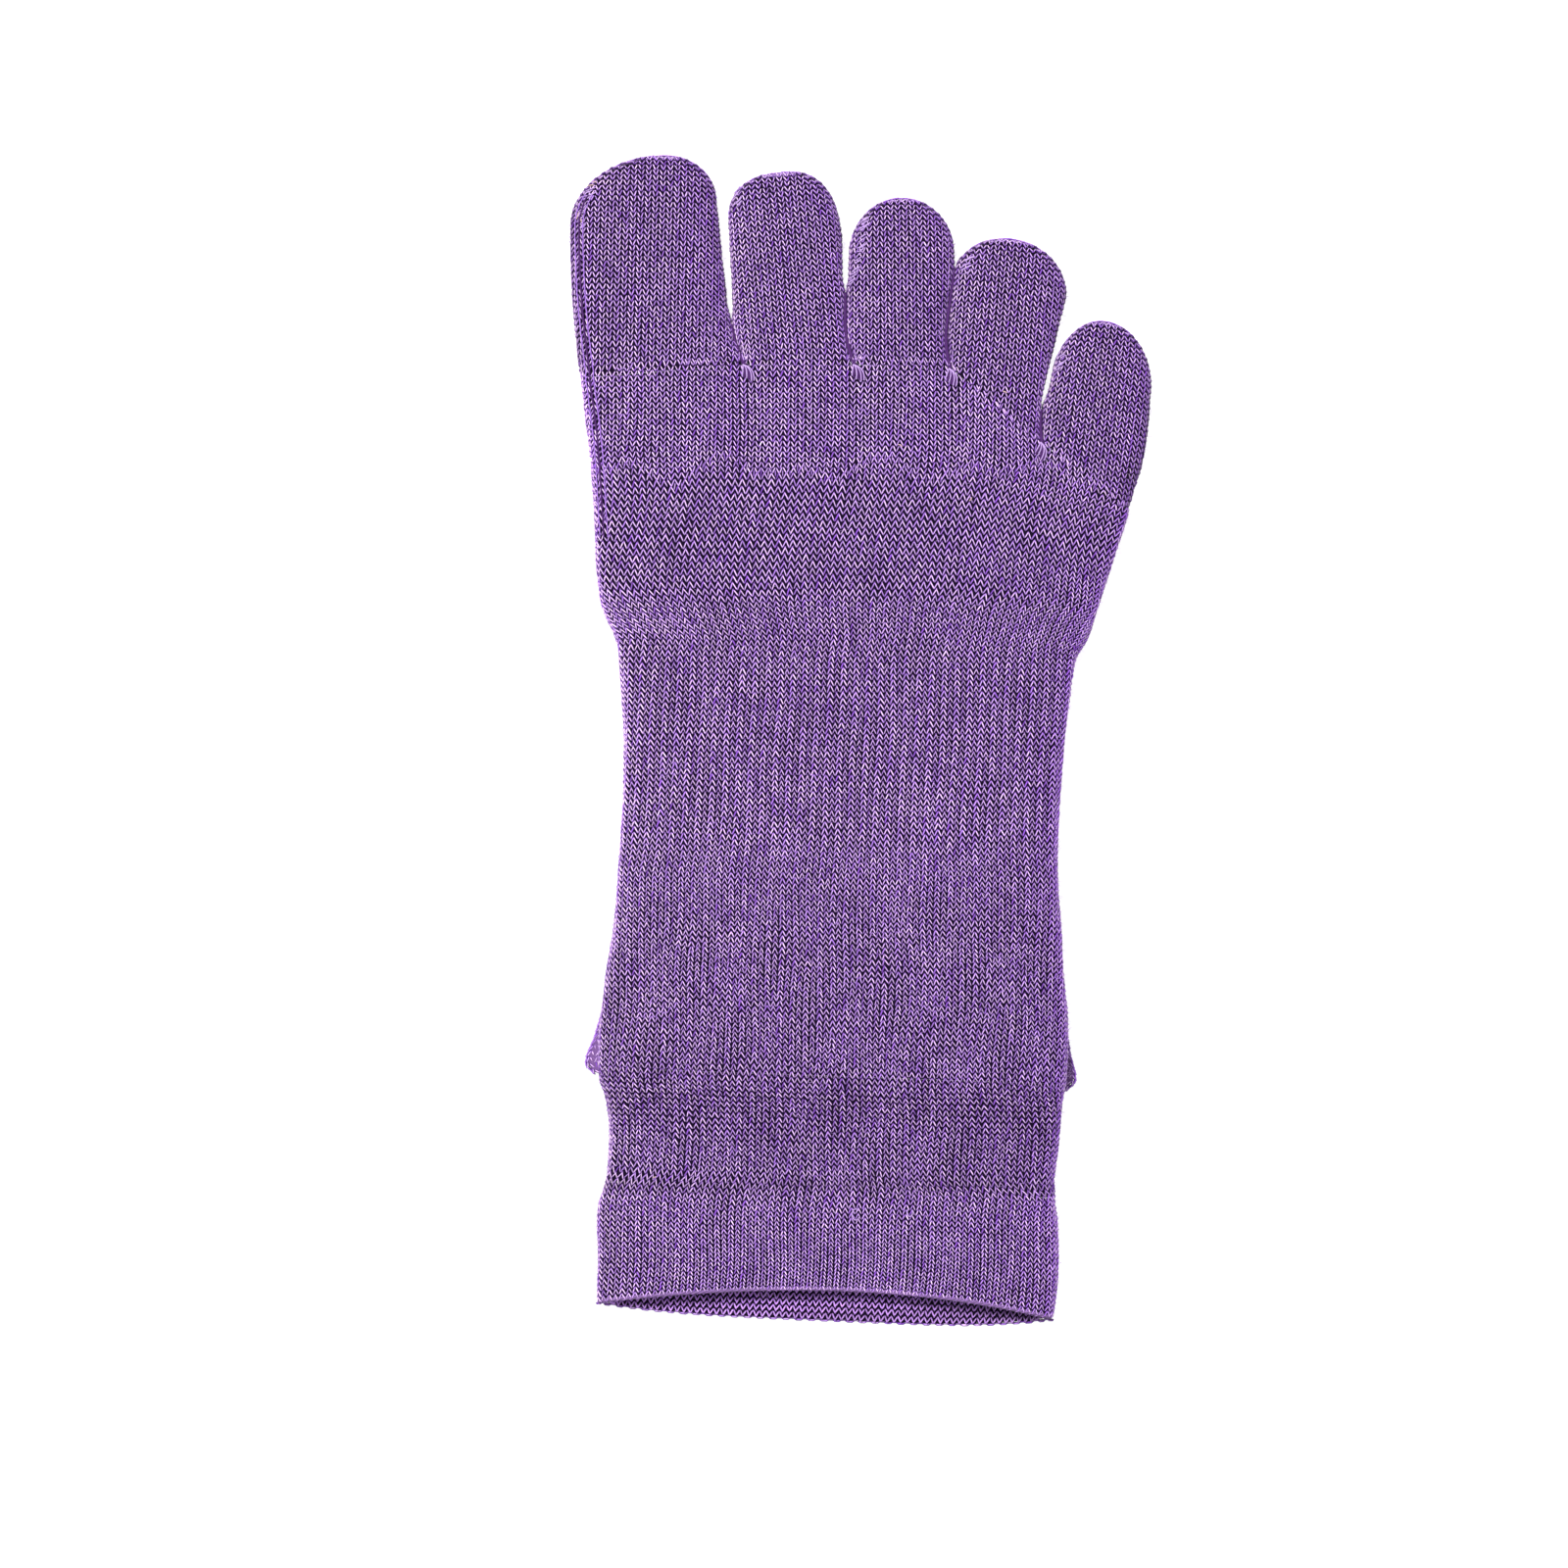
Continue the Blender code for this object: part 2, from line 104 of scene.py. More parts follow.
# The body's outline. Columns: zone start, zone length, share of the zone, width that the row follows,
# left fold and right fold as shares of that width, height of the top
BODY_TABLE = (
    (MOUTH_LINE, CUFF_LENGTH, -0.15, CUFF_WIDTH, -0.563, 0.415, CUFF_HEIGHT),
    (MOUTH_LINE, CUFF_LENGTH, 0.09, CUFF_WIDTH, -0.568, 0.424, CUFF_HEIGHT),
    (MOUTH_LINE, CUFF_LENGTH, 0.40, CUFF_WIDTH, -0.568, 0.430, CUFF_HEIGHT),
    (MOUTH_LINE, CUFF_LENGTH, 0.71, CUFF_WIDTH, -0.570, 0.430, CUFF_HEIGHT),
    (MOUTH_LINE, CUFF_LENGTH, 0.89, CUFF_WIDTH, -0.566, 0.424, CUFF_HEIGHT),
    (CUFF_LINE, LEG_LENGTH, 0.00, LEG_WIDTH, -0.572, 0.436, LEG_HEIGHT),
    (CUFF_LINE, LEG_LENGTH, 0.10, LEG_WIDTH, -0.565, 0.434, LEG_HEIGHT),
    (CUFF_LINE, LEG_LENGTH, 0.36, LEG_WIDTH, -0.561, 0.438, LEG_HEIGHT),
    (CUFF_LINE, LEG_LENGTH, 0.66, LEG_WIDTH, -0.561, 0.447, LEG_HEIGHT * 1.12),
    (CUFF_LINE, LEG_LENGTH, 0.84, LEG_WIDTH, -0.568, 0.454, LEG_HEIGHT * 1.30),
    (0.0, FOOT_LENGTH, 0.000, HEEL_WIDTH, -0.530, 0.420, HEEL_TOP),
    (0.0, FOOT_LENGTH, 0.072, HEEL_WIDTH, -0.528, 0.424, HEEL_TOP),
    (0.0, FOOT_LENGTH, 0.120, HEEL_WIDTH, -0.520, 0.418, HEEL_TOP),
    (0.0, FOOT_LENGTH, 0.189, ARCH_WIDTH, -0.569, 0.459, HEEL_TOP),
    (0.0, FOOT_LENGTH, 0.272, ARCH_WIDTH, -0.556, 0.453, HEEL_TOP * 0.97),
    (0.0, FOOT_LENGTH, 0.354, ARCH_WIDTH, -0.545, 0.455, FOOT_HEIGHT * 1.15),
    (0.0, FOOT_LENGTH, 0.451, ARCH_WIDTH, -0.542, 0.466, FOOT_HEIGHT),
    (0.0, FOOT_LENGTH, 0.531, ARCH_WIDTH, -0.545, 0.482, FOOT_HEIGHT),
    (0.0, FOOT_LENGTH, 0.586, ARCH_WIDTH, -0.551, 0.495, FOOT_HEIGHT),
    (0.0, FOOT_LENGTH, 0.617, ARCH_WIDTH, -0.560, 0.522, FOOT_HEIGHT),
    (0.0, FOOT_LENGTH, 0.651, FOREFOOT_WIDTH, -0.440, 0.407, FOOT_HEIGHT),
    (0.0, FOOT_LENGTH, 0.713, FOREFOOT_WIDTH, -0.451, 0.431, FOOT_HEIGHT),
    (0.0, FOOT_LENGTH, 0.796, FOREFOOT_WIDTH, -0.458, 0.463, FOOT_HEIGHT),
    (0.0, FOOT_LENGTH, 0.892, FOREFOOT_WIDTH, -0.466, 0.480, FOOT_HEIGHT),
    (0.0, FOOT_LENGTH, 0.982, FOREFOOT_WIDTH, -0.480, 0.490, FOOT_HEIGHT),
)

# The toe line from the left fold to the right one: place from -1 to 1, share of the foot behind the foremost crotch
TOE_LINE = ((-1.000, 0.018), (-0.401, 0.000), (0.000, 0.000), (0.348, 0.006), (0.681, 0.110), (1.000, 0.204))

# The toes. Columns: name, length, place of the apex as a share of the forefoot's width,
# left and right half width as shares of it, left and right round end as shares of the toe's length
TOES = (
    ("big_toe", 0.0388, -0.330, 0.1650, 0.0870, 0.345, 0.222),
    ("second_toe", 0.0348, -0.133, 0.1005, 0.0921, 0.268, 0.384),
    ("third_toe", 0.0304, 0.071, 0.0909, 0.0909, 0.353, 0.330),
    ("fourth_toe", 0.0302, 0.256, 0.0855, 0.1064, 0.224, 0.330),
    ("little_toe", 0.0281, 0.421, 0.0800, 0.0945, 0.430, 0.451),
)

# The heel cup's outline. Columns: share of its depth, half width as a share of the heel's width
POCKET = (
    (0.00, 0.490),
    (0.03, 0.504),
    (0.07, 0.502),
    (0.14, 0.488),
    (0.26, 0.472),
    (0.45, 0.430),
    (0.68, 0.345),
    (0.86, 0.225),
    (0.96, 0.120),
    (1.00, 0.000),
)

# Wales across the underside, most wales across the top, and the width of a wale there by y
BODY_WALES = 70
TOP_WALES = 90
WALE_WIDTHS = (
    (MOUTH_LINE, 0.001195),
    (CUFF_LINE, 0.001195),
    (CUFF_LINE + 0.0020, 0.001150),
    (0.0360, 0.001150),
    (0.0400, 0.001133),
    (0.0780, 0.001133),
    (0.0880, 0.001270),
    (0.1040, 0.001274),
    (0.1120, 0.001318),
)

# The y where the knit turns round behind the toes, how far that line strays, and how far the foot's last
# course lies over the toe line
KNIT_TURNS_AT = 0.1085
TURN_STRAY = 0.0028
LINE_OVERLAP = 0.0004

# How far the body's stitches reach over the toe line, in courses: at the big toe, behind the next toes, at
# the little one and at the crotches, which take the share after it of the line to each side
LINE_REACHES = (0.40, 0.25, -0.25, 0.75)
CROTCH_REACH_SHARE = 0.045

# Those stitches lie as high as the toes do this far ahead of them, less the drop
LOOK_AHEAD = 0.0012
LOOK_DROP = 0.00024

# The y between which the arch and the forefoot lie
ARCH_FROM = 0.0380
ARCH_TO = 0.0780
FORE_FROM = 0.0830
FORE_TO = 0.1085

# How much taller the courses of the arch and of the forefoot are than the others, in courses
ARCH_COURSE = 0.095
FORE_COURSE = 0.26

# The little toe's side of the forefoot: its courses slope down to the right
SLOPE_FROM_X = 0.0180
SLOPE = 0.26
SLOPE_STARTS_AT = 0.0700

# The photo's frame: width of the floor that it shows, its middle, its pixels across, and the pixel where
# the row frame has its zero
PHOTO_WIDTH = 0.2812
PHOTO_MIDDLE = (-0.0137, -0.0080)
PHOTO_PIXELS = 1600.0
PHOTO_ZERO = (878.0, 754.5)

# The camera's lens and sensor, and the height of the sock's outline, for which the width holds
LENS = 200.0
SENSOR = 36.0
OUTLINE_HEIGHT = 0.0030

# Lamps: name, place, power and size. The floor's grey and glow, and the light from all round
LAMPS = (("key", (-0.35, 0.46, 1.35), 34.0, 0.40), ("fill", (0.9, -0.5, 1.2), 3.0, 1.2))
FLOOR_GREY = 0.30
FLOOR_GLOW = 0.93
SKY_STRENGTH = 0.38

# The mouth: how deep the knit inside shows, the steps of the strands over the rolled front edge, and the
# step of the scalloped rear edge
INSIDE_DEPTH = 0.0120
ROLL_STEP = 0.00062
SCALLOP = 0.0023

# The heel cup's corners: share of the way round that each takes, its wales, and how much lower and
# narrower the corners are
EAR_SPAN = 0.19
EAR_WALES = 5
EAR_DROP = 0.0009
EAR_NARROWER = 0.0006

# Stitches of the body against those of the toes: lean and length of their legs
BODY_LEAN = 0.92
BODY_REACH = 1.04

# A leg that rises to the right is steeper than its partner; both lie this share of a wale off its middle
RISING_STEEPER = 0.12
LEG_OFFSET = 0.232

# The wale along the side folds of a toe: how far inside the outline and above the fold, and its width
EDGE_INSET = 0.00035
EDGE_RISE = 0.0006
EDGE_WALE = 0.0010

# How many toes, from the big one, start with courses along the toe line, and the lean of all toes' stitches
LEVEL_TOES = 3
TOE_LEAN = 0.86

# Share of a toe's length over which its courses turn from the toe line to level ones
LINE_FADE_SHARE = 0.45

# Painted shade: how much darker the outer wales of a toe are, from its side inwards, and the shades of its fold
# wales, also painted shade, and of its tip
TOE_SIDE_SHADES = (0.46, 0.30, 0.12, 0.0)
EDGE_SHADE = 0.55
TIP_SHADE = 1.05

# Rings of stitches over the round edge of a tip: distance inside the outline, share of the way up, tilt
TIP_RINGS = ((0.0003, 0.30, 1.35), (0.0005, 0.62, 0.95), (0.0011, 0.90, 0.50))

# Power of a toe's round end where it isn't an ellipse: squarer under one
TIP_POWERS = {"second_toe": 0.80}

# How far the free side of the big toe and that of the little toe bulge, in metres
FREE_BULGES = {-1.0: 0.0005, 1.0: 0.0009}

# Between the toes, from the big one: how far up a crease stays closed, the length over which it opens,
# which way its tuft turns, and the lowest height that tufts lie on
CREASE_LENGTHS = (0.0072, 0.0130, 0.0180, 0.0060)
CREASE_FADE = 0.0030
TUFT_TURNS = (-0.10, -0.15, -0.35, -0.55)
TUFT_FLOOR = 0.0069

# Curved strands of a tuft and dark cords of painted shade in the spaces between them: how far each reaches aside and
# down, in metres
TUFT_ARCS = (
    (0.0001, 0.0021, "strand"),
    (0.0005, 0.0023, "gap"),
    (0.0009, 0.0025, "strand"),
    (0.0013, 0.0025, "gap"),
    (0.0016, 0.0026, "gap"),
    (0.0018, 0.0027, "strand"),
    (0.0021, 0.0026, "gap"),
    (0.0023, 0.0026, "strand"),
)

# Cords along the big toe's free side: distance inside its outline, and whether it is a dark cord of painted groove
# shade
SIDE_CORDS = ((0.0017, True), (0.0010, False), (0.0024, False))

# Seam ends at the toe tips and edges, in pixels of the photo. Columns: start, end, number of bits of yarn
TIP_SEAMS = (
    ((594, 212), (592, 236), 8),
    ((604, 192), (598, 204), 5),
    ((753, 195), (754, 210), 5),
    ((884, 222), (880, 236), 6),
    ((881, 240), (869, 292), 14),
    ((990, 264), (984, 280), 6),
    ((1084, 362), (1080, 378), 6),
)

# Loose loops on the cuff: pixel of the photo and radius. Flecks: pixel and length
LOOPS = (((873, 1238), 0.0007), ((928, 1236), 0.0005))
FLECKS = (
    ((590, 221), 0.0014),
    ((593, 226), 0.0010),
    ((603, 190), 0.0012),
    ((607, 187), 0.0008),
    ((1025, 401), 0.0009),
    ((918, 456), 0.0009),
    ((990, 510), 0.0008),
    ((668, 1200), 0.0006),
)
FUZZ_COUNT = 1500


class SockSizes(bpy.types.PropertyGroup):
    """Sizes of the yarn and of the knit."""

    strand_width: bpy.props.FloatProperty(
        name="Strand width", description="Width of one leg of a stitch", default=0.00032, unit="LENGTH"
    )
    strand_thickness: bpy.props.FloatProperty(
        name="Strand thickness", description="How far a leg stands out of the cloth", default=0.00060, unit="LENGTH"
    )
    strand_reach: bpy.props.FloatProperty(
        name="Strand reach", description="Length of a leg as a share of a course", default=1.62
    )
    leg_angle: bpy.props.FloatProperty(
        name="Leg angle", description="Lean of a leg from its wale", default=math.radians(27.0), subtype="ANGLE"
    )
    leg_dive: bpy.props.FloatProperty(
        name="Leg dive", description="How steeply a leg goes under the next one", default=0.26
    )
    course: bpy.props.FloatProperty(
        name="Course", description="Height of one stitch on the foot", default=0.00100, unit="LENGTH"
    )
    toe_wale: bpy.props.FloatProperty(
        name="Toe wale", description="Width of one stitch on the toes", default=0.00130, unit="LENGTH"
    )
    # The ground is near black: painted shade between the strands
    ground_depth: bpy.props.FloatProperty(
        name="Ground depth", description="Depth of the dark ground under the strands", default=0.00050, unit="LENGTH"
    )
    waviness: bpy.props.FloatProperty(
        name="Waviness", description="How far wales and courses stray", default=0.00022, unit="LENGTH"
    )
    rim_radius: bpy.props.FloatProperty(
        name="Rim radius", description="Radius of the rolled front edge", default=0.00040, unit="LENGTH"
    )
    seed: bpy.props.IntProperty(name="Seed", description="Seed of everything uneven", default=7)


class SockColours(bpy.types.PropertyGroup):
    """Colours of the yarn. The streak, shadow, ground, inside and crease colours are painted light and shade."""

    strand: bpy.props.FloatVectorProperty(
        name="Strand", description="Body of the yarn", subtype="COLOR", default=(0.257, 0.084, 0.560)
    )
    # Streak: a painted highlight along a strand's crest, partly a pale filament
    streak: bpy.props.FloatVectorProperty(
        name="Streak", description="Pale filament along a strand", subtype="COLOR", default=(0.97, 0.70, 1.0)
    )
    # Shadow: painted shade at a strand's sides and ends
    shadow: bpy.props.FloatVectorProperty(
        name="Shadow", description="Sides of a strand", subtype="COLOR", default=(0.020, 0.001, 0.055)
    )
    # Ground: near-black painted shade where the cloth shows between the strands
    ground: bpy.props.FloatVectorProperty(
        name="Ground", description="Cloth behind the strands", subtype="COLOR", default=(0.004, 0.0004, 0.010)
    )
    # Inside: a lighter copy of the strand colour, painted light for the softly lit inside of the mouth
    inside: bpy.props.FloatVectorProperty(
        name="Inside", description="Body of the yarn inside the mouth", subtype="COLOR", default=(0.35, 0.18, 0.51)
    )
    rim: bpy.props.FloatVectorProperty(
        name="Rim", description="Smooth rolled edge", subtype="COLOR", default=(0.130, 0.075, 0.185)
    )
    fleck: bpy.props.FloatVectorProperty(
        name="Fleck", description="Beige flecks at the toe seams", subtype="COLOR", default=(0.48, 0.33, 0.33)
    )
    tuft: bpy.props.FloatVectorProperty(
        name="Tuft", description="Loose yarn between the toes", subtype="COLOR", default=(0.44, 0.29, 0.60)
    )
    # Crease: painted shade for dark cords in the creases between the toes, in the gaps of the tufts and in the big
    # toe's groove
    crease: bpy.props.FloatVectorProperty(
        name="Crease", description="Cloth deep between the toes", subtype="COLOR", default=(0.060, 0.020, 0.105)
    )


def sizes():
    return bpy.context.scene.sock_sizes


def colours():
    return bpy.context.scene.sock_colours


# Shape of the lying sock


def smooth(t):
    t = np.clip(t, 0.0, 1.0)
    return t * t * (3.0 - 2.0 * t)


def mix(a, b, t):
    return a + (b - a) * t


def through(rows, at):
    """Values of a smooth curve through rows of (place, value, ...) at a place."""
    last = len(rows) - 1
    k = next((i for i in range(last) if at <= rows[i + 1][0]), last - 1)
    span = rows[k + 1][0] - rows[k][0]
    t = min(max((at - rows[k][0]) / span, 0.0), 1.0)
    values = []
    for column in range(1, len(rows[0])):
        slopes = []
        for i in (k, k + 1):
            before, after = rows[max(i - 1, 0)], rows[min(i + 1, last)]
            slopes.append((after[column] - before[column]) / (after[0] - before[0]))
        a, b = rows[k][column], rows[k + 1][column]
        values.append(
            a * (2 * t**3 - 3 * t**2 + 1)
            + b * (3 * t**2 - 2 * t**3)
            + span * slopes[0] * (t**3 - 2 * t**2 + t)
            + span * slopes[1] * (t**3 - t**2)
        )
    return values


BODY_ROWS = [
    (start + length * share, left * width, right * width, top)
    for start, length, share, width, left, right, top in BODY_TABLE
]
BODY_Y = np.linspace(BODY_ROWS[0][0], FOOT_LENGTH, 700)
BODY_CURVES = np.array([through(BODY_ROWS, y) for y in BODY_Y])
LINE_S = np.array([s for s, back in TOE_LINE])
LINE_Y = np.array([FOOT_LENGTH * (1.0 - back) for s, back in TOE_LINE])


def body(y):
    """Left fold, right fold and top of the body at y, as arrays."""
    return [np.interp(y, BODY_Y, BODY_CURVES[:, column]) for column in range(3)]


def upper_base(y):
    """Height that the upper tube starts at: it rises over the heel cup."""
    front = POCKET_DEPTH + SOLE_RISE_LENGTH
    over_cup = smooth((front - y) / (SOLE_RISE_LENGTH - GAP))
    past_heel = 1.0 - smooth(-y / (0.6 * LEG_LENGTH))
    return (POCKET_HEIGHT + GAP) * np.where(y >= 0.0, over_cup, past_heel)


def leaning(y, s):
    share = 1.0 - smooth(y / (0.5 * FOOT_LENGTH))
    return y - 0.5 * LEAN_OF_LEG * share * s


def toe_line(s):
    return np.interp(s, LINE_S, LINE_Y)


LINE_LEFT_X = float(body(toe_line(-1.0))[0])
LINE_RIGHT_X = float(body(toe_line(1.0))[1])


def line_place(x):
    """Place along the toe line, from -1 to 1, of a point at x."""
    return 2.0 * (x - LINE_LEFT_X) / (LINE_RIGHT_X - LINE_LEFT_X) - 1.0


def crowned(s, crown=CROWN):
    """Rise of a pressed tube's top, from 0 at its folds at -1 and 1 to 1 in the middle."""
    return (1.0 - np.minimum(np.abs(s), 1.0) ** crown) ** (1.0 / crown)


def pressed(q, lift, half):
    """Place and rise under a pressed tube: flat for q from -1 to 1, then round up to the folds at -2 and 2."""
    flat = 1.0 - np.minimum(lift / half, 0.6)
    t = np.clip(np.abs(q) - 1.0, 0.0, 1.0)
    s = np.sign(q) * np.where(np.abs(q) <= 1.0, np.abs(q) * flat, mix(flat, 1.0, t))
    return s, lift * (1.0 - np.sqrt(np.maximum(1.0 - t * t, 0.0)))


def between(y, start, end, fade_in, fade_out):
    """1 between two y, and 0 outside, with fades of the given lengths."""
    return smooth((y - start) / fade_in) * smooth((end - y) / fade_out)


def bell(y, middle, width):
    return np.exp(-(((y - middle) / width) ** 2))


def points(x, y, z):
    x, y, z = np.broadcast_arrays(x, y, z)
    return np.stack([x, y, z], axis=-1).astype(float)


def body_top(s, y):
    """Points on top of the body at place s and y."""
    left = body(leaning(y, -1.0))
    right = body(leaning(y, 1.0))
    base = upper_base(y)
    top = 0.5 * (left[2] + right[2])
    fold = mix(base, top, FOLD_SHARE)
    x = mix(left[0], right[1], 0.5 * (s + 1.0))
    z = mix(fold, top, crowned(s))
    place = line_place(x)
    near = np.min([np.abs(place - c) for c in LINE_S[1:-1]], axis=0)
    fade = smooth((y - ARCH_TO) / (FOOT_LENGTH - ARCH_TO)) ** 2
    dip = CROTCH_DIP * fade * np.maximum(1.0 - near / CROTCH_DIP_SHARE, 0.0)
    return points(x, leaning(y, s), z - dip)


def body_under(q, y):
    """Points under the body at place q and y."""
    left = body(leaning(y, -1.0))
    right = body(leaning(y, 1.0))
    over_cup = (y > 0.0) & (y < POCKET_DEPTH + SOLE_RISE_LENGTH)
    base = np.where(over_cup, upper_base(y), 0.0)
    top = 0.5 * (left[2] + right[2])
    lift = FOLD_SHARE * (top - base)
    s, rise = pressed(q, lift, 0.5 * (right[1] - left[0]))
    return points(mix(left[0], right[1], 0.5 * (s + 1.0)), leaning(y, s), base + rise)


def mouth_bow(p, above):
    """Draws the front edge of the cuff back and lets its rear edge bulge."""
    t = np.clip((CUFF_LINE - p[..., 1]) / CUFF_LENGTH, 0.0, 1.3)
    left, right = body(p[..., 1])[:2]
    s = np.clip(2.0 * (p[..., 0] - left) / (right - left) - 1.0, -1.0, 1.0)
    bowed = p.copy()
    bowed[..., 1] += t * t * ((1.0 - s * s) * FRONT_EDGE_RISE if above else (s**4 - 1.0) * REAR_EDGE_DROP)
    return bowed


class Toe:
    """Plan and height of one toe pocket, in distances along and across its axis."""

    def __init__(self, row, s0, s1):
        self.name, self.length, apex_share, *shares = row
        corners = []
        for s, side in ((s0, 1.0), (s1, -1.0)):
            x = mix(LINE_LEFT_X, LINE_RIGHT_X, 0.5 * (s + 1.0)) + side * 0.5 * GAP
            corners.append(np.array((x, float(toe_line(s)) + 0.5 * GAP)))
        self.middle = middle = 0.5 * (corners[0] + corners[1])
        apex_x = apex_share * FOREFOOT_WIDTH
        reach = math.sqrt(self.length**2 - (apex_x - middle[0]) ** 2)
        self.apex = np.array((apex_x, middle[1] + reach))
        self.ahead = (self.apex - middle) / np.linalg.norm(self.apex - middle)
        self.aside = np.array((self.ahead[1], -self.ahead[0]))
        self.sides = []
        self.arcs = []
        self.free = (s0 <= -1.0, s1 >= 1.0)
        for corner, side, half_share, round_share, is_free in zip(
            corners, (-1.0, 1.0), shares[:2], shares[2:], self.free
        ):
            half = half_share * FOREFOOT_WIDTH
            reach = round_share * self.length
            centre = self.length - reach
            start = np.array(((corner - middle) @ self.ahead, side * ((corner - middle) @ self.aside)))
            end = np.array((centre, half))
            t = np.linspace(0.0, 1.0, 24)[:-1, None]
            straight = mix(start, end, t)
            if is_free:
                straight[:, 1] += FREE_BULGES[side] * np.sin(math.pi * t[:, 0])
            else:
                away = t[:, 0] * np.linalg.norm(end - start) / CROTCH_DRIFT_LENGTH
                straight[:, 1] += side * CROTCH_DRIFT * (np.maximum(1.0 - away, 0.0) ** 2 - (1.0 - t[:, 0]))
            turn = np.linspace(0.0, 0.5 * math.pi, 40).clip(0.0, 0.5 * math.pi - 1e-6)
            arc = self.arc(centre, reach, half, turn)
            self.sides.append(np.concatenate([straight, arc]))
            self.arcs.append((centre, reach, half))
        self.low = min(side[0, 0] for side in self.sides)
        rounds = [self.length * (1.0 - share) for share in shares[2:]]
        self.round_from = 0.5 * (rounds[0] + rounds[1])

    def arc(self, centre, reach, half, turn):
        """Round end of a side: squarer where the power is under one."""
        power = TIP_POWERS.get(self.name, 1.0)
        return np.stack([centre + reach * np.sin(turn) ** power, half * np.cos(turn) ** power], axis=1)

    def half(self, along, which):
        table = self.sides[which]
        return np.interp(along, table[:, 0], table[:, 1])

    def top_height(self, along):
        t = np.clip((along - self.round_from) / (self.length - self.round_from), 0.0, 1.0)
        tip = mix(TIP_HEIGHT, TOE_HEIGHT, np.sqrt(np.maximum(1.0 - t * t, 0.0)) ** 0.6)
        return mix(FOOT_HEIGHT, tip, smooth(2.5 * np.clip(along / self.length, 0.0, 1.0)))

    def plan(self, along, across):
        p = self.middle + along[..., None] * self.ahead + across[..., None] * self.aside
        return p[..., 0], p[..., 1]

    def top(self, s, along):
        top = self.top_height(along)
        across = mix(-self.half(along, 0), self.half(along, 1), 0.5 * (s + 1.0))
        starts = [FREE_BASE_CROWN if is_free else TOE_BASE_CROWN for is_free in self.free]
        crown = mix(np.where(s < 0.0, *starts), CROWN, smooth(2.5 * np.clip(along / self.length, 0.0, 1.0)))
        x, y = self.plan(along, across)
        return points(x, y, mix(FOLD_SHARE * top, top, crowned(s, crown)))

    def under(self, q, along):
        left, right = self.half(along, 0), self.half(along, 1)
        s, rise = pressed(q, FOLD_SHARE * self.top_height(along), np.maximum(0.5 * (left + right), 1e-6))
        x, y = self.plan(along, mix(-left, right, 0.5 * (s + 1.0)))
        return points(x, y, rise)


TOE_SHAPES = [Toe(row, s0, s1) for row, s0, s1 in zip(TOES, LINE_S, LINE_S[1:])]


def close_crotches():
    """Presses neighbouring toes against each other from the crotch up to the end of the crease."""
    for k, crease in enumerate(CREASE_LENGTHS):
        pair = ((TOE_SHAPES[k], 1, 1.0), (TOE_SHAPES[k + 1], 0, -1.0))
        plans = []
        for toe, which, side in pair:
            x, y = toe.plan(toe.sides[which][:, 0], side * toe.sides[which][:, 1])
            order = np.argsort(y)
            plans.append((x[order], y[order], x, y))
        corner_y = float(toe_line(LINE_S[k + 1]))
        for (toe, which, side), own, other in zip(pair, plans, reversed(plans)):
            gap = side * (np.interp(own[3], other[1], other[0]) - own[2])
            weight = 1.0 - smooth((own[3] - corner_y - crease) / CREASE_FADE)
            toe.sides[which][:, 1] += 0.5 * gap * weight * toe.aside[0]


close_crotches()


def pocket_shape(q, share):
    """Points of the heel cup; q runs round it, from 0 at the left fold over the top to 1 at the right, then to 2."""
    rows = np.array(POCKET)
    half = np.interp(share, rows[:, 0], rows[:, 1]) * HEEL_WIDTH
    left = body(leaning(np.float64(0.0), -1.0))[0]
    right = body(leaning(np.float64(0.0), 1.0))[1]
    start = np.array((left, leaning(0.0, -1.0)))
    end = np.array((right, leaning(0.0, 1.0)))
    across = (end - start) / np.linalg.norm(end - start)
    ahead = np.array((-across[1], across[0]))
    fold = FOLD_SHARE * POCKET_HEIGHT
    turn = math.pi * q
    s = -np.cos(turn)
    above = np.sin(turn) >= 0.0
    z = np.where(above, mix(fold, POCKET_HEIGHT, crowned(s)), mix(fold, 0.0, crowned(s)))
    place = 0.5 * (start + end) + (share * POCKET_DEPTH)[..., None] * ahead + (half * s)[..., None] * across
    drop = EAR_DROP * np.abs(s) ** 4 * (1.0 - smooth(share / 0.25))
    narrower = EAR_NARROWER * np.maximum(s, 0.0) ** 4 * (1.0 - smooth(share / 0.25))
    return points(place[..., 0] - narrower, place[..., 1] - drop, z)


# Stitches, as points that carry their turn, stretch and shade


def unit(v):
    return v / np.maximum(np.linalg.norm(v, axis=-1, keepdims=True), 1e-12)


def quaternions(x, y, z):
    """Rotations whose columns are x, y and z."""
    m = np.stack([x, y, z], axis=2)
    a, b, c = m[:, 0, 0], m[:, 1, 1], m[:, 2, 2]
    yz, zx, xy = m[:, 2, 1] - m[:, 1, 2], m[:, 0, 2] - m[:, 2, 0], m[:, 1, 0] - m[:, 0, 1]
    yz2, zx2, xy2 = m[:, 2, 1] + m[:, 1, 2], m[:, 0, 2] + m[:, 2, 0], m[:, 1, 0] + m[:, 0, 1]
    rows = np.array(
        [
            [1 + a + b + c, yz, zx, xy],
            [yz, 1 + a - b - c, xy2, zx2],
            [zx, xy2, 1 - a + b - c, yz2],
            [xy, zx2, yz2, 1 - a - b + c],
        ]
    )
    best = np.argmax([rows[i, i] for i in range(4)], axis=0)
    return unit(rows[best, :, np.arange(len(best))])


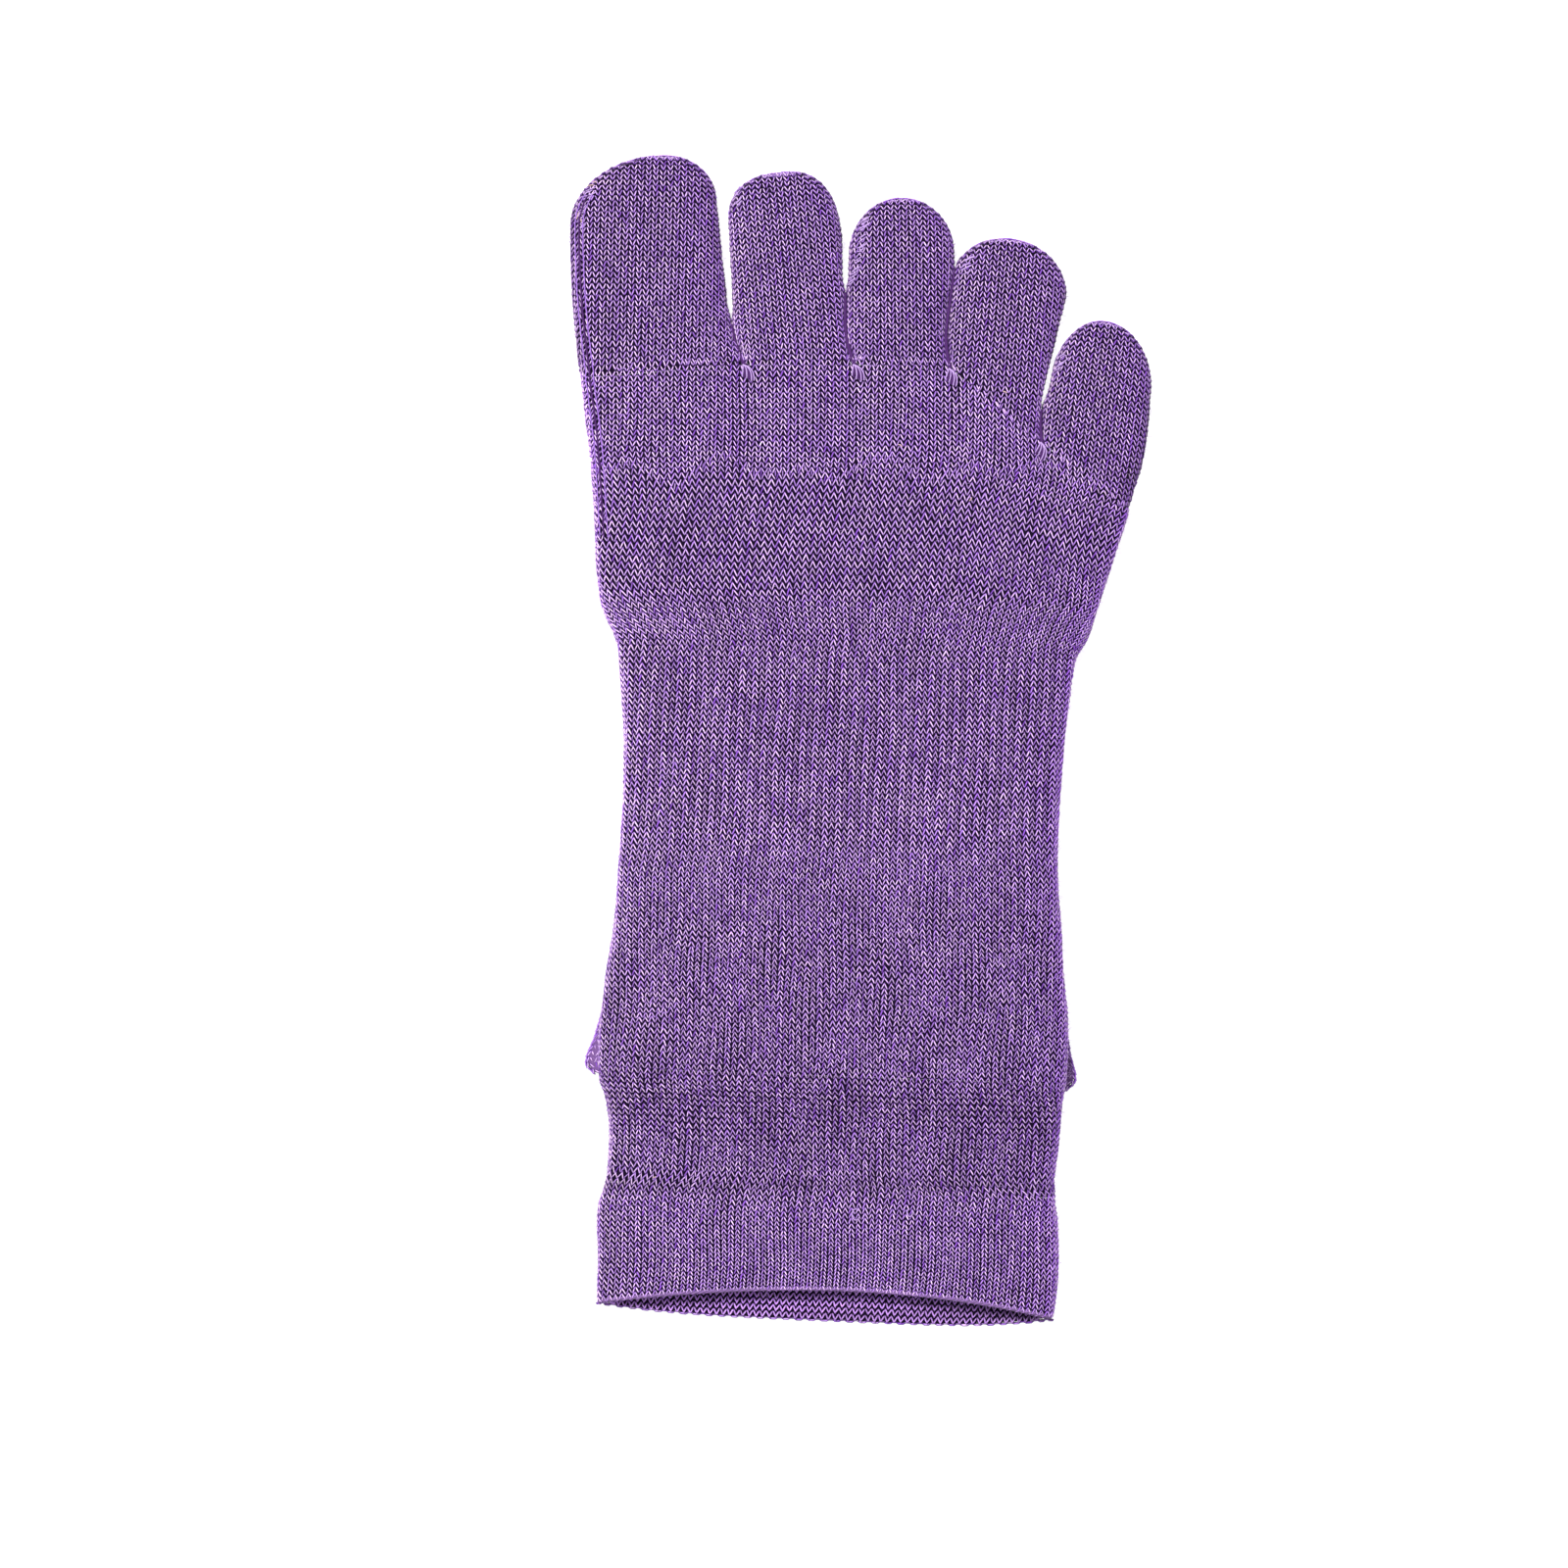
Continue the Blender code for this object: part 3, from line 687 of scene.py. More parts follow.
class Strands:
    """Legs of stitches collected before they become one mesh."""

    def __init__(self):
        self.parts = []

    def add(self, place, along, normal, stretch, shade, gleam):
        axis = unit(along)
        across = unit(np.cross(axis, normal))
        out = np.cross(across, axis)
        turn = quaternions(across, axis, out)
        size = sizes()
        upright = 0.5 * size.course * stretch[:, 1:2] * np.abs(axis[:, 2:])
        above = np.maximum(place[:, 2:], 0.55 * size.strand_thickness + upright)
        place = np.concatenate([place[:, :2], above], axis=1)
        self.parts.append((place, turn, stretch, shade, gleam))

    def arrays(self):
        return [np.concatenate([part[i] for part in self.parts]) for i in range(5)]


def wander(p, strength, salt):
    """A slow smooth unevenness over the cloth, from -1 to 1 times strength."""
    x, y = p[..., 0], p[..., 1]
    total = 0.0
    for k in range(4):
        a = 1.7 + 2.3 * k + salt
        wave = 180.0 * (1.0 + 0.7 * k)
        total = total + np.sin(wave * (x * math.cos(a) + y * math.sin(a)) + 3.1 * a)
    return strength * total / 4.0


def knit(strands, rng, place, across, along, normal, wale, course, way, shade, lean=1.0, reach=None, loose=1.0):
    """Adds the two legs of each stitch. way is 1 where a stitch opens towards the toes, -1 where it closes."""
    size = sizes()
    count = len(place)
    wale, course, way, shade = (np.broadcast_to(value, count) for value in (wale, course, way, shade))
    reach = size.strand_reach if reach is None else reach
    for side in (-1.0, 1.0):
        rising = 1.0 - RISING_STEEPER * side * way
        angle = lean * size.leg_angle * rising * (1.0 + loose * rng.normal(0.0, 0.11, count)) * side * way
        jitter = rng.normal(0.0, 1.0, (count, 3)) * np.array((0.022, 0.035, 0.015)) * size.course
        jitter = jitter * np.broadcast_to(loose, count)[:, None]
        centre = (
            place
            + across * (side * LEG_OFFSET * wale + jitter[:, 0])[:, None]
            + along * jitter[:, 1][:, None]
            - normal * (0.5 * size.strand_thickness + jitter[:, 2])[:, None]
        )
        axis = along * np.cos(angle)[:, None] + across * np.sin(angle)[:, None]
        axis = axis - normal * (size.leg_dive * way * (1.0 + rng.normal(0.0, 0.2, count)))[:, None]
        stretch = np.stack(
            [
                (wale / 0.0012) * (1.0 + rng.normal(0.0, 0.07, count)),
                (reach * course / size.course) * (1.0 + rng.normal(0.0, 0.07, count)),
                1.0 + rng.normal(0.0, 0.06, count),
            ],
            axis=1,
        )
        # Painted highlight strength: legs that rise one way gleam more than their partners, as if lit from one side
        gleam = np.clip(rng.normal(0.72 - 0.18 * side * way, 0.24, count), 0.0, 1.2)
        tone = shade * (1.0 + rng.normal(0.0, 0.09, count))
        strands.add(centre, axis, normal, stretch, tone, gleam)


def run_of(curve):
    """Distance of each point of a curve from its start."""
    steps = np.linalg.norm(np.diff(curve, axis=0), axis=1)
    return np.concatenate([[0.0], np.cumsum(steps)])


def by_length(curve, places):
    """Points at distances along a dense curve."""
    run = run_of(curve)
    return np.stack([np.interp(places, run, curve[:, i]) for i in range(curve.shape[1])], axis=1)


def rolled(strands, rng, place, way, out, stretch, spread, shade, gleam, gleam_spread):
    """Adds a row of strands along a rim, whose sizes and gleam vary."""
    count = len(place)
    stretch = np.tile(np.array(stretch), (count, 1)) * (1.0 + rng.normal(0.0, spread, (count, 3)))
    gleam = np.clip(rng.normal(gleam, gleam_spread, count), 0.0, 1.0)
    strands.add(place, way, out, stretch, np.full(count, shade), gleam)


def curve_length(curve):
    return float(np.linalg.norm(np.diff(curve, axis=0), axis=1).sum())


def frame_of(grid):
    """Unit vectors across, along and out of a grid of points, whose rows run towards the toes."""
    across = unit(np.gradient(grid, axis=1))
    along = unit(np.gradient(grid, axis=0))
    normal = unit(np.cross(across, along))
    along = unit(along - normal * (along * normal).sum(-1, keepdims=True))
    return across, along, normal


TOP_S = -np.cos(np.linspace(0.0, math.pi, 260))
UNDER_Q = np.linspace(2.0, -2.0, 260)


def zone_shade(y, x):
    """Tone of the knit: a pale cuff, painted shade of the fold over the cuff's top line, wavy painted shade of
    ruffles at the ankle, and painted shade on the left fold.
    """
    cuff = 0.10 * smooth((CUFF_LINE - y) / 0.0012)
    # Painted shade of the fold along the cuff's top line
    cuff_fold_shade = -0.20 * bell(y - CUFF_LINE, 0.0008, 0.0011)
    ankle = 0.01 * bell(y, -0.0020, 0.0045) - 0.03 * bell(y, -0.018, 0.0024)
    # Painted light and shade of the ruffles at the ankle: wavy brighter and darker rows
    waves = np.sin(y * 2100.0 + 1.4 * np.sin(x * 330.0))
    ankle = ankle + 0.05 * waves * bell(y, -0.006, 0.007)
    arch = 0.03 * between(y, ARCH_FROM, ARCH_TO, 0.004, 0.004)
    # Painted shade on the left fold, which the lamp lights more than the rest
    fold = -0.21 * smooth((-0.0425 - x) / 0.003) * smooth((ARCH_FROM - y) / 0.01)
    return 1.0 + cuff + cuff_fold_shade + ankle + arch + fold + wander(points(x, y, 0.0), 0.05, 1.3)


def body_rows():
    """Courses from the mouth to where the knit turns: y of each on the middle line."""
    size = sizes()
    rows = [MOUTH_LINE + 0.0006]
    while rows[-1] < FOOT_LENGTH + 0.001:
        y = rows[-1]
        arch = between(y, ARCH_FROM, ARCH_TO, 0.004, 0.004)
        fore = between(y, FORE_FROM, FORE_TO, 0.004, 0.003)
        rows.append(y + size.course * (0.965 + ARCH_COURSE * float(arch) + FORE_COURSE * float(fore)))
    return np.array(rows)


def turn_line(grid):
    """y behind which stitches close towards the toes; it strays from stitch to stitch."""
    stray = np.sin(grid[..., 0] * 430.0) + np.sin(grid[..., 0] * 251.0 + 1.0)
    return KNIT_TURNS_AT + TURN_STRAY * 0.5 * stray


def top_grid(rows):
    """Stitches on top of the body: wales of a given width about the middle line, those on it, and their widths."""
    widths = np.interp(rows, [y for y, width in WALE_WIDTHS], [width for y, width in WALE_WIDTHS])
    numbers = np.arange(TOP_WALES) - 0.5 * (TOP_WALES - 1)
    grid, kept_ = [], []
    for curve, width in zip(course_curves(rows, body_top, TOP_S), widths):
        total = curve_length(curve)
        places = 0.5 * total + width * numbers
        kept_.append((places > -0.5 * width) & (places < total + 0.5 * width))
        grid.append(by_length(curve, np.clip(places, 0.35 * width, total - 0.35 * width)))
    return np.array(grid), np.array(kept_), np.repeat(widths[:, None], TOP_WALES, axis=1)


def course_grid(rows, wales, surface, run):
    """Points of a grid of stitches on a surface, with equal wales over each course."""
    shares = (np.arange(wales) + 0.5) / wales
    return np.array([by_length(c, shares * curve_length(c)) for c in course_curves(rows, surface, run)])


def course_curves(rows, surface, run):
    """The line over a surface that each course follows."""
    for y in rows:
        level = np.full_like(run, y)
        curve = surface(run, level)
        slope = SLOPE * smooth((y - SLOPE_STARTS_AT) / 0.03)
        if slope > 0.0:
            drop = slope * np.maximum(curve[:, 0] - SLOPE_FROM_X, 0.0)
            curve = surface(run, level - drop)
        yield curve


def looseness(y):
    """How much less even the knit is at the heel and the leg than elsewhere, from 0 to 1."""
    return between(y, CUFF_LINE - 0.003, 0.034, 0.003, 0.010)


def strayed(grid):
    """Lets wales and courses stray a little, more at the rear and not at the toe line."""
    waviness = sizes().waviness
    calm = smooth((toe_line(line_place(grid[..., 0])) - grid[..., 1]) / 0.005)
    amount = calm * (1.0 + 0.9 * looseness(grid[..., 1]))
    moved = grid.copy()
    moved[..., 0] += wander(grid, waviness, 0.4) * amount
    moved[..., 1] += wander(grid, 1.2 * waviness, 2.2) * amount
    return moved


def ribbing(grid, wales):
    """Which stitches lie in every second wale, and how strongly those sink: most under the arch."""
    y = grid[..., 1]
    arch = between(y, ARCH_FROM, ARCH_TO, 0.006, 0.006)
    fore = smooth((y - FORE_FROM) / 0.006)
    amount = 0.55 + 0.45 * arch - 0.30 * fore
    odd = (np.arange(wales) % 2)[None, :] * np.ones_like(y)
    return odd, amount


def join_body(grid, rng, strands, way, mask, widths=None):
    """Knits the stitches of a grid that a mask keeps."""
    size = sizes()
    across, along, normal = frame_of(grid)
    wales = grid.shape[1]
    odd, amount = ribbing(grid, wales)
    steps = np.linalg.norm(np.gradient(grid, axis=1), axis=-1) if widths is None else widths
    courses = np.linalg.norm(np.gradient(grid, axis=0), axis=-1)
    # Odd wales sink and also get painted shade, most under the arch
    shade = zone_shade(grid[..., 1], grid[..., 0]) * (1.0 - amount * 0.20 * (odd - 0.5))
    place = grid - normal * (amount * 0.00019 * odd)[..., None]
    steps = steps * (1.0 + 0.20 * amount * (1.0 - 2.0 * odd))
    way = np.broadcast_to(way, grid.shape[:2])
    loose = 0.8 + 0.6 * looseness(grid[..., 1])
    knit(
        strands,
        rng,
        *(a[mask] for a in (place, across, along, normal, steps, courses, way, shade)),
        lean=BODY_LEAN,
        reach=size.strand_reach * BODY_REACH,
        loose=loose[mask],
    )


# Node trees


def tree(name, inputs):
    """A geometry node group with a Geometry input, the named inputs and a Geometry output."""
    group = bpy.data.node_groups.new(name, "GeometryNodeTree")
    group.is_modifier = True
    face = group.interface
    face.new_socket("Geometry", in_out="INPUT", socket_type="NodeSocketGeometry")
    for label, kind, value in inputs:
        socket = face.new_socket(label, in_out="INPUT", socket_type=kind)
        if value is not None:
            socket.default_value = value
    face.new_socket("Geometry", in_out="OUTPUT", socket_type="NodeSocketGeometry")
    return group, group.nodes.new("NodeGroupInput"), group.nodes.new("NodeGroupOutput")


def node(group, kind, inputs=(), **settings):
    """A new node. inputs holds values or other nodes' outputs by the name or number of the socket."""
    made = group.nodes.new(kind)
    for key, value in settings.items():
        setattr(made, key, value)
    for key, value in dict(inputs).items():
        if isinstance(value, bpy.types.NodeSocket):
            group.links.new(value, made.inputs[key])
        else:
            made.inputs[key].default_value = value
    return made


def worked_out(group, operation, *values, clamp=False):
    """Output of a math node."""
    made = node(group, "ShaderNodeMath", enumerate(values), operation=operation, use_clamp=clamp)
    return made.outputs[0]


def named(group, name, data_type):
    made = node(group, "GeometryNodeInputNamedAttribute", {"Name": name}, data_type=data_type)
    return made.outputs["Attribute"]


def painted(group, out, geometry, material):
    """Ends a tree with real geometry that wears the material."""
    real = node(group, "GeometryNodeRealizeInstances", {"Geometry": geometry})
    inputs = {"Geometry": real.outputs["Geometry"], "Material": material}
    paint = node(group, "GeometryNodeSetMaterial", inputs)
    group.links.new(paint.outputs["Geometry"], out.inputs["Geometry"])
    return group


def stitch_tree():
    """Puts one bead-like leg of yarn on each point, turned and stretched by the point's attributes."""
    group, given, out = tree(
        "Stitch legs",
        (
            ("Strand Width", "NodeSocketFloat", 0.0006),
            ("Strand Length", "NodeSocketFloat", 0.0015),
            ("Strand Thickness", "NodeSocketFloat", 0.0006),
            ("Faces Round", "NodeSocketInt", 4),
            ("Faces Along", "NodeSocketInt", 3),
            ("Bend", "NodeSocketFloat", 0.12),
            ("Unevenness", "NodeSocketFloat", 0.03),
            ("Seed", "NodeSocketInt", 7),
            ("Material", "NodeSocketMaterial", None),
        ),
    )
    given = given.outputs
    inputs = {"Radius": 0.5, "Segments": given["Faces Round"], "Rings": given["Faces Along"]}
    ball = node(group, "GeometryNodeMeshUVSphere", inputs)
    inputs = {"Rotation": (-0.5 * math.pi, 0.0, 0.0), "Geometry": ball.outputs["Mesh"]}
    leg = node(group, "GeometryNodeTransform", inputs).outputs["Geometry"]
    place = node(group, "GeometryNodeInputPosition").outputs["Position"]
    split = node(group, "ShaderNodeSeparateXYZ", {"Vector": place}).outputs
    for label, axis in (("across", "X"), ("along", "Y")):
        inputs = {"Name": label, "Value": worked_out(group, "MULTIPLY", split[axis], 2.0), "Geometry": leg}
        keep = node(group, "GeometryNodeStoreNamedAttribute", inputs, data_type="FLOAT", domain="POINT")
        leg = keep.outputs["Geometry"]
    sag = worked_out(group, "MULTIPLY", worked_out(group, "POWER", split["Y"], 2.0), given["Bend"])
    shift = node(group, "ShaderNodeCombineXYZ", {"Z": worked_out(group, "MULTIPLY", sag, -4.0)})
    bend = node(group, "GeometryNodeSetPosition", {"Geometry": leg, "Offset": shift.outputs["Vector"]})
    soft = node(group, "GeometryNodeSetShadeSmooth", {"Geometry": bend.outputs["Geometry"]})
    inputs = {"X": given["Strand Width"], "Y": given["Strand Length"], "Z": given["Strand Thickness"]}
    size = node(group, "ShaderNodeCombineXYZ", inputs)
    inputs = {0: size.outputs["Vector"], 1: named(group, "stretch", "FLOAT_VECTOR")}
    stretch = node(group, "ShaderNodeVectorMath", inputs, operation="MULTIPLY")
    low = worked_out(group, "SUBTRACT", 1.0, given["Unevenness"])
    high = worked_out(group, "ADD", 1.0, given["Unevenness"])
    inputs = {2: low, 3: high, "Seed": given["Seed"]}
    chance = node(group, "FunctionNodeRandomValue", inputs, data_type="FLOAT")
    inputs = {0: stretch.outputs["Vector"], "Scale": chance.outputs[1]}
    uneven = node(group, "ShaderNodeVectorMath", inputs, operation="SCALE")
    inputs = {
        "Points": given["Geometry"],
        "Instance": soft.outputs["Geometry"],
        "Rotation": named(group, "turn", "QUATERNION"),
        "Scale": uneven.outputs["Vector"],
    }
    spread = node(group, "GeometryNodeInstanceOnPoints", inputs)
    return painted(group, out, spread.outputs["Instances"], given["Material"])


def cord_tree():
    """Turns edges into round strands, whose radius follows the thick attribute."""
    group, given, out = tree(
        "Strands along edges",
        (
            ("Radius", "NodeSocketFloat", 0.0002),
            ("Sides", "NodeSocketInt", 6),
            ("Seed", "NodeSocketInt", 7),
            ("Material", "NodeSocketMaterial", None),
        ),
    )
    given = given.outputs
    line = node(group, "GeometryNodeMeshToCurve", {"Mesh": given["Geometry"]})
    thick = worked_out(group, "MULTIPLY", named(group, "thick", "FLOAT"), given["Radius"])
    radius = node(group, "GeometryNodeSetCurveRadius", {"Curve": line.outputs["Curve"], "Radius": thick})
    ring = node(group, "GeometryNodeCurvePrimitiveCircle", {"Radius": 1.0, "Resolution": given["Sides"]})
    inputs = {"Curve": radius.outputs["Curve"], "Profile Curve": ring.outputs["Curve"], "Fill Caps": True}
    pipe = node(group, "GeometryNodeCurveToMesh", inputs)
    if "Scale" in pipe.inputs:
        reach = node(group, "GeometryNodeInputRadius")
        group.links.new(reach.outputs["Radius"], pipe.inputs["Scale"])
    soft = node(group, "GeometryNodeSetShadeSmooth", {"Geometry": pipe.outputs["Mesh"]})
    return painted(group, out, soft.outputs["Geometry"], given["Material"])


def group_named(name, make):
    return bpy.data.node_groups.get(name) or make()


def grown(name, mesh, group, values):
    """Applies a geometry node group to a mesh, and leaves a plain mesh object in the sock's place."""
    seed = bpy.data.objects.new(name + "_points", mesh)
    bpy.context.scene.collection.objects.link(seed)
    modifier = seed.modifiers.new("grow", "NODES")
    modifier.node_group = group
    for item in group.interface.items_tree:
        if item.item_type == "SOCKET" and item.in_out == "INPUT" and item.name in values:
            modifier[item.identifier] = values[item.name]
    evaluated = seed.evaluated_get(bpy.context.evaluated_depsgraph_get())
    plain = bpy.data.meshes.new_from_object(evaluated)
    plain.name = name
    bpy.data.objects.remove(seed)
    for attribute in [a.name for a in plain.attributes]:
        if attribute in ("turn", "stretch", "thick", "radius", "tilt"):
            plain.attributes.remove(plain.attributes[attribute])
    piece = bpy.data.objects.new(name, plain)
    bpy.context.scene.collection.objects.link(piece)
    return piece


def stitched(name, strands, material, slot, fine=True):
    """One piece of many legs of yarn; those that aren't fine have fewer faces."""
    size = sizes()
    place, turn, stretch, shade, gleam = strands.arrays()
    mesh = bpy.data.meshes.new(name + "_points")
    mesh.vertices.add(len(place))
    mesh.vertices.foreach_set("co", (place + HEEL_LINE_AT).astype(np.float32).ravel())
    for label, kind, field, data in (
        ("turn", "QUATERNION", "value", turn),
        ("stretch", "FLOAT_VECTOR", "vector", stretch),
        ("shade", "FLOAT", "value", shade),
        ("gleam", "FLOAT", "value", gleam),
    ):
        attribute = mesh.attributes.new(label, kind, "POINT")
        attribute.data.foreach_set(field, data.astype(np.float32).ravel())
    values = {
        "Strand Width": size.strand_width,
        "Strand Length": size.course,
        "Strand Thickness": size.strand_thickness,
        "Faces Round": 4,
        "Faces Along": 3 if fine else 2,
        "Bend": 0.10,
        "Unevenness": 0.03,
        "Seed": size.seed,
        "Material": material,
    }
    piece = grown(name, mesh, group_named("Stitch legs", stitch_tree), values)
    return kept(piece, slot)


def kept(piece, slot, replaces=()):
    """Puts a piece on the sock's body and hides the parts that it replaces."""
    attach(piece, BODY)
    if replaces:
        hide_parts(*replaces)
    return piece


def strung(name, lines, radius, sides, material, slot):
    """One piece of many strands; lines holds (points, relative radii) in the sock's frame."""
    verts, edges, thick = [], [], []
    for line, radii in lines:
        start = len(verts)
        verts += [tuple(p + HEEL_LINE_AT) for p in line]
        thick += list(radii)
        edges += [(start + i, start + i + 1) for i in range(len(line) - 1)]
    mesh = bpy.data.meshes.new(name + "_lines")
    mesh.from_pydata(verts, edges, [])
    attribute = mesh.attributes.new("thick", "FLOAT", "POINT")
    attribute.data.foreach_set("value", np.array(thick, np.float32))
    values = {"Radius": radius, "Sides": sides, "Seed": sizes().seed, "Material": material}
    piece = grown(name, mesh, group_named("Strands along edges", cord_tree), values)
    return kept(piece, slot)


# Materials


def shader_group(name, inputs, outputs):
    group = bpy.data.node_groups.new(name, "ShaderNodeTree")
    for label, kind, value in inputs:
        socket = group.interface.new_socket(label, in_out="INPUT", socket_type=kind)
        socket.default_value = value
    for label, kind in outputs:
        group.interface.new_socket(label, in_out="OUTPUT", socket_type=kind)
    return group, group.nodes.new("NodeGroupInput"), group.nodes.new("NodeGroupOutput")


def fibre_group():
    """Fine fibres and slow mottling over the cloth: a height and a tone that changes round 1."""
    group, given, out = shader_group(
        "Fibres",
        (
            ("Fibre Scale", "NodeSocketFloat", 5200.0),
            ("Mottling", "NodeSocketFloat", 0.10),
            ("Unevenness", "NodeSocketFloat", 0.18),
        ),
        (("Height", "NodeSocketFloat"), ("Tone", "NodeSocketFloat")),
    )
    given = given.outputs
    place = node(group, "ShaderNodeTexCoord").outputs["Object"]
    inputs = {"Detail": 2.0, "Vector": place, "Scale": given["Fibre Scale"]}
    fine = node(group, "ShaderNodeTexNoise", inputs).outputs["Fac"]
    inputs = {"Detail": 3.0, "Vector": place, "Scale": 90.0}
    slow = node(group, "ShaderNodeTexNoise", inputs).outputs["Fac"]
    tone = 1.0
    for source, amount in ((fine, "Unevenness"), (slow, "Mottling")):
        centred = worked_out(group, "SUBTRACT", source, 0.5)
        tone = worked_out(group, "MULTIPLY_ADD", centred, given[amount], tone)
    group.links.new(fine, out.inputs["Height"])
    group.links.new(tone, out.inputs["Tone"])
    return group


def cloth_start(name, roughness, sheen, sheen_tint, specular):
    """A new material, its tree, its Principled shader and its fibres."""
    material = bpy.data.materials.new(name)
    material.use_nodes = True
    nodes = material.node_tree
    shader = nodes.nodes["Principled BSDF"]
    shader.inputs["Roughness"].default_value = roughness
    shader.inputs["Sheen Weight"].default_value = sheen
    shader.inputs["Sheen Roughness"].default_value = 0.45
    shader.inputs["Sheen Tint"].default_value = sheen_tint
    shader.inputs["Specular IOR Level"].default_value = specular
    return material, nodes, shader, node(nodes, "ShaderNodeGroup", node_tree=group_named("Fibres", fibre_group))


def cloth_end(nodes, shader, fibres, colour, tone, strength, depth):
    """Gives the shader a colour in a tone, and the bump of the fibres."""
    tinted = node(nodes, "ShaderNodeVectorMath", {0: colour, "Scale": tone}, operation="SCALE")
    nodes.links.new(tinted.outputs["Vector"], shader.inputs["Base Color"])
    inputs = {"Strength": strength, "Distance": depth, "Height": fibres.outputs["Height"]}
    bump = node(nodes, "ShaderNodeBump", inputs)
    nodes.links.new(bump.outputs["Normal"], shader.inputs["Normal"])


def value_of(tree_, name):
    source = node(tree_, "ShaderNodeAttribute", attribute_name=name, attribute_type="GEOMETRY")
    return source.outputs["Fac"]


def stepped(group, value, start, end, falls=False):
    """A smooth step of a value from 0 to 1, or from 1 to 0 where it falls."""
    ends = {"From Min": start, "From Max": end, "To Min": float(falls), "To Max": float(not falls)}
    made = node(group, "ShaderNodeMapRange", {**ends, "Value": value}, interpolation_type="SMOOTHSTEP")
    return made.outputs["Result"]


def mixed(group, factor, a, b):
    return node(group, "ShaderNodeMix", {"Factor": factor, "A": a, "B": b}, data_type="RGBA").outputs["Result"]


def yarn(name, strand, streak, shadow):
    """Yarn with painted light: painted shade at a strand's sides and ends, and a broken pale streak along its crest
    that is partly a pale filament and partly a painted highlight.
    """
    material, nodes, shader, fibres = cloth_start(name, 0.60, 0.06, (0.80, 0.62, 1.0, 1.0), 0.12)
    across = value_of(nodes, "across")
    lengthwise = worked_out(nodes, "ABSOLUTE", value_of(nodes, "along"))
    # Painted shade: the strand's colour darkens to the shadow colour at its sides and ends
    side = stepped(nodes, worked_out(nodes, "ABSOLUTE", across), 0.22, 0.85)
    tip = stepped(nodes, lengthwise, 0.46, 1.0)
    colour = mixed(nodes, worked_out(nodes, "MAXIMUM", side, tip), (*strand, 1.0), (*shadow, 1.0))
    # Painted highlight: a broken pale streak along the crest, partly a pale filament, as strong as the gleam
    # attribute
    near = worked_out(nodes, "ABSOLUTE", worked_out(nodes, "SUBTRACT", across, 0.10))
    crest = stepped(nodes, near, 0.06, 0.58, falls=True)
    bright = worked_out(nodes, "MULTIPLY", crest, value_of(nodes, "gleam"), clamp=True)
    inner = stepped(nodes, lengthwise, 0.30, 0.85, falls=True)
    colour = mixed(nodes, worked_out(nodes, "MULTIPLY", bright, inner), colour, (*streak, 1.0))
    tone = worked_out(nodes, "MULTIPLY", value_of(nodes, "shade"), fibres.outputs["Tone"])
    cloth_end(nodes, shader, fibres, colour, tone, 0.35, 0.00006)
    return material


def plain_cloth(name, colour, roughness=0.85, depth=0.0001):
    """Fine fibrous cloth of one colour."""
    material, nodes, shader, fibres = cloth_start(name, roughness, 0.03, (0.86, 0.76, 1.0, 1.0), 0.1)
    fibres.inputs["Unevenness"].default_value = 0.35
    cloth_end(nodes, shader, fibres, colour, fibres.outputs["Tone"], 0.6, depth)
    return material


def material_named(name, make, *values):
    return bpy.data.materials.get(name) or make(name, *values)


def blended(one, other, share):
    return tuple(mix(a, b, share) for a, b in zip(one, other))


def body_yarn():
    c = colours()
    return material_named("body_yarn", yarn, tuple(c.strand), tuple(c.streak), tuple(c.shadow))


def inside_yarn():
    """A lighter copy of the yarn, painted light for the softly lit inside: less painted contrast between its
    highlight streaks and its shaded sides.
    """
    c = colours()
    streak, shadow = (blended(c.inside, other, 0.18) for other in (c.streak, c.shadow))
    return material_named("inside_yarn", yarn, tuple(c.inside), streak, shadow)


# Near-black cloth of painted shade for the gaps between the strands
def ground_cloth():
    return material_named("ground_cloth", plain_cloth, tuple(colours().ground))


# Ground shells


def shell(name, outer, inner, closed_end, material, slot):
    """A closed hollow skin from rings of its outer and inner face."""
    bm = bmesh.new()
    skins = [[[bm.verts.new(p + HEEL_LINE_AT) for p in ring] for ring in rings] for rings in (outer, inner)]
    count = len(outer[0])
    around = [(i, (i + 1) % count) for i in range(count)]
    for rings in skins:
        for a, b in zip(rings, rings[1:]):
            for i, j in around:
                bm.faces.new((a[i], a[j], b[j], b[i]))
    for end in (0,) if closed_end else (0, -1):
        a, b = skins[0][end], skins[1][end]
        for i, j in around:
            bm.faces.new((a[i], b[i], b[j], a[j]))
    if closed_end:
        for rings in skins:
            centre = sum((v.co for v in rings[-1]), Vector()) / count
            pole = bm.verts.new(centre)
            for i, j in around:
                bm.faces.new((rings[-1][i], rings[-1][j], pole))
    bmesh.ops.recalc_face_normals(bm, faces=bm.faces)
    mesh = bpy.data.meshes.new(name)
    bm.to_mesh(mesh)
    bm.free()
    mesh.shade_smooth()
    mesh.set_sharp_from_angle(angle=math.radians(50.0))
    mesh.materials.append(material)
    piece = bpy.data.objects.new(name, mesh)
    bpy.context.scene.collection.objects.link(piece)
    return kept(piece, slot, (name.replace("_ground", ""),))


def sunk(grid, depth):
    """A grid of closed rings moved into the cloth by a depth."""
    closed = np.concatenate([grid[:, -1:], grid, grid[:, :1]], axis=1)
    across = unit(np.gradient(closed, axis=1)[:, 1:-1])
    along = unit(np.gradient(grid, axis=0))
    return grid - unit(np.cross(across, along)) * depth


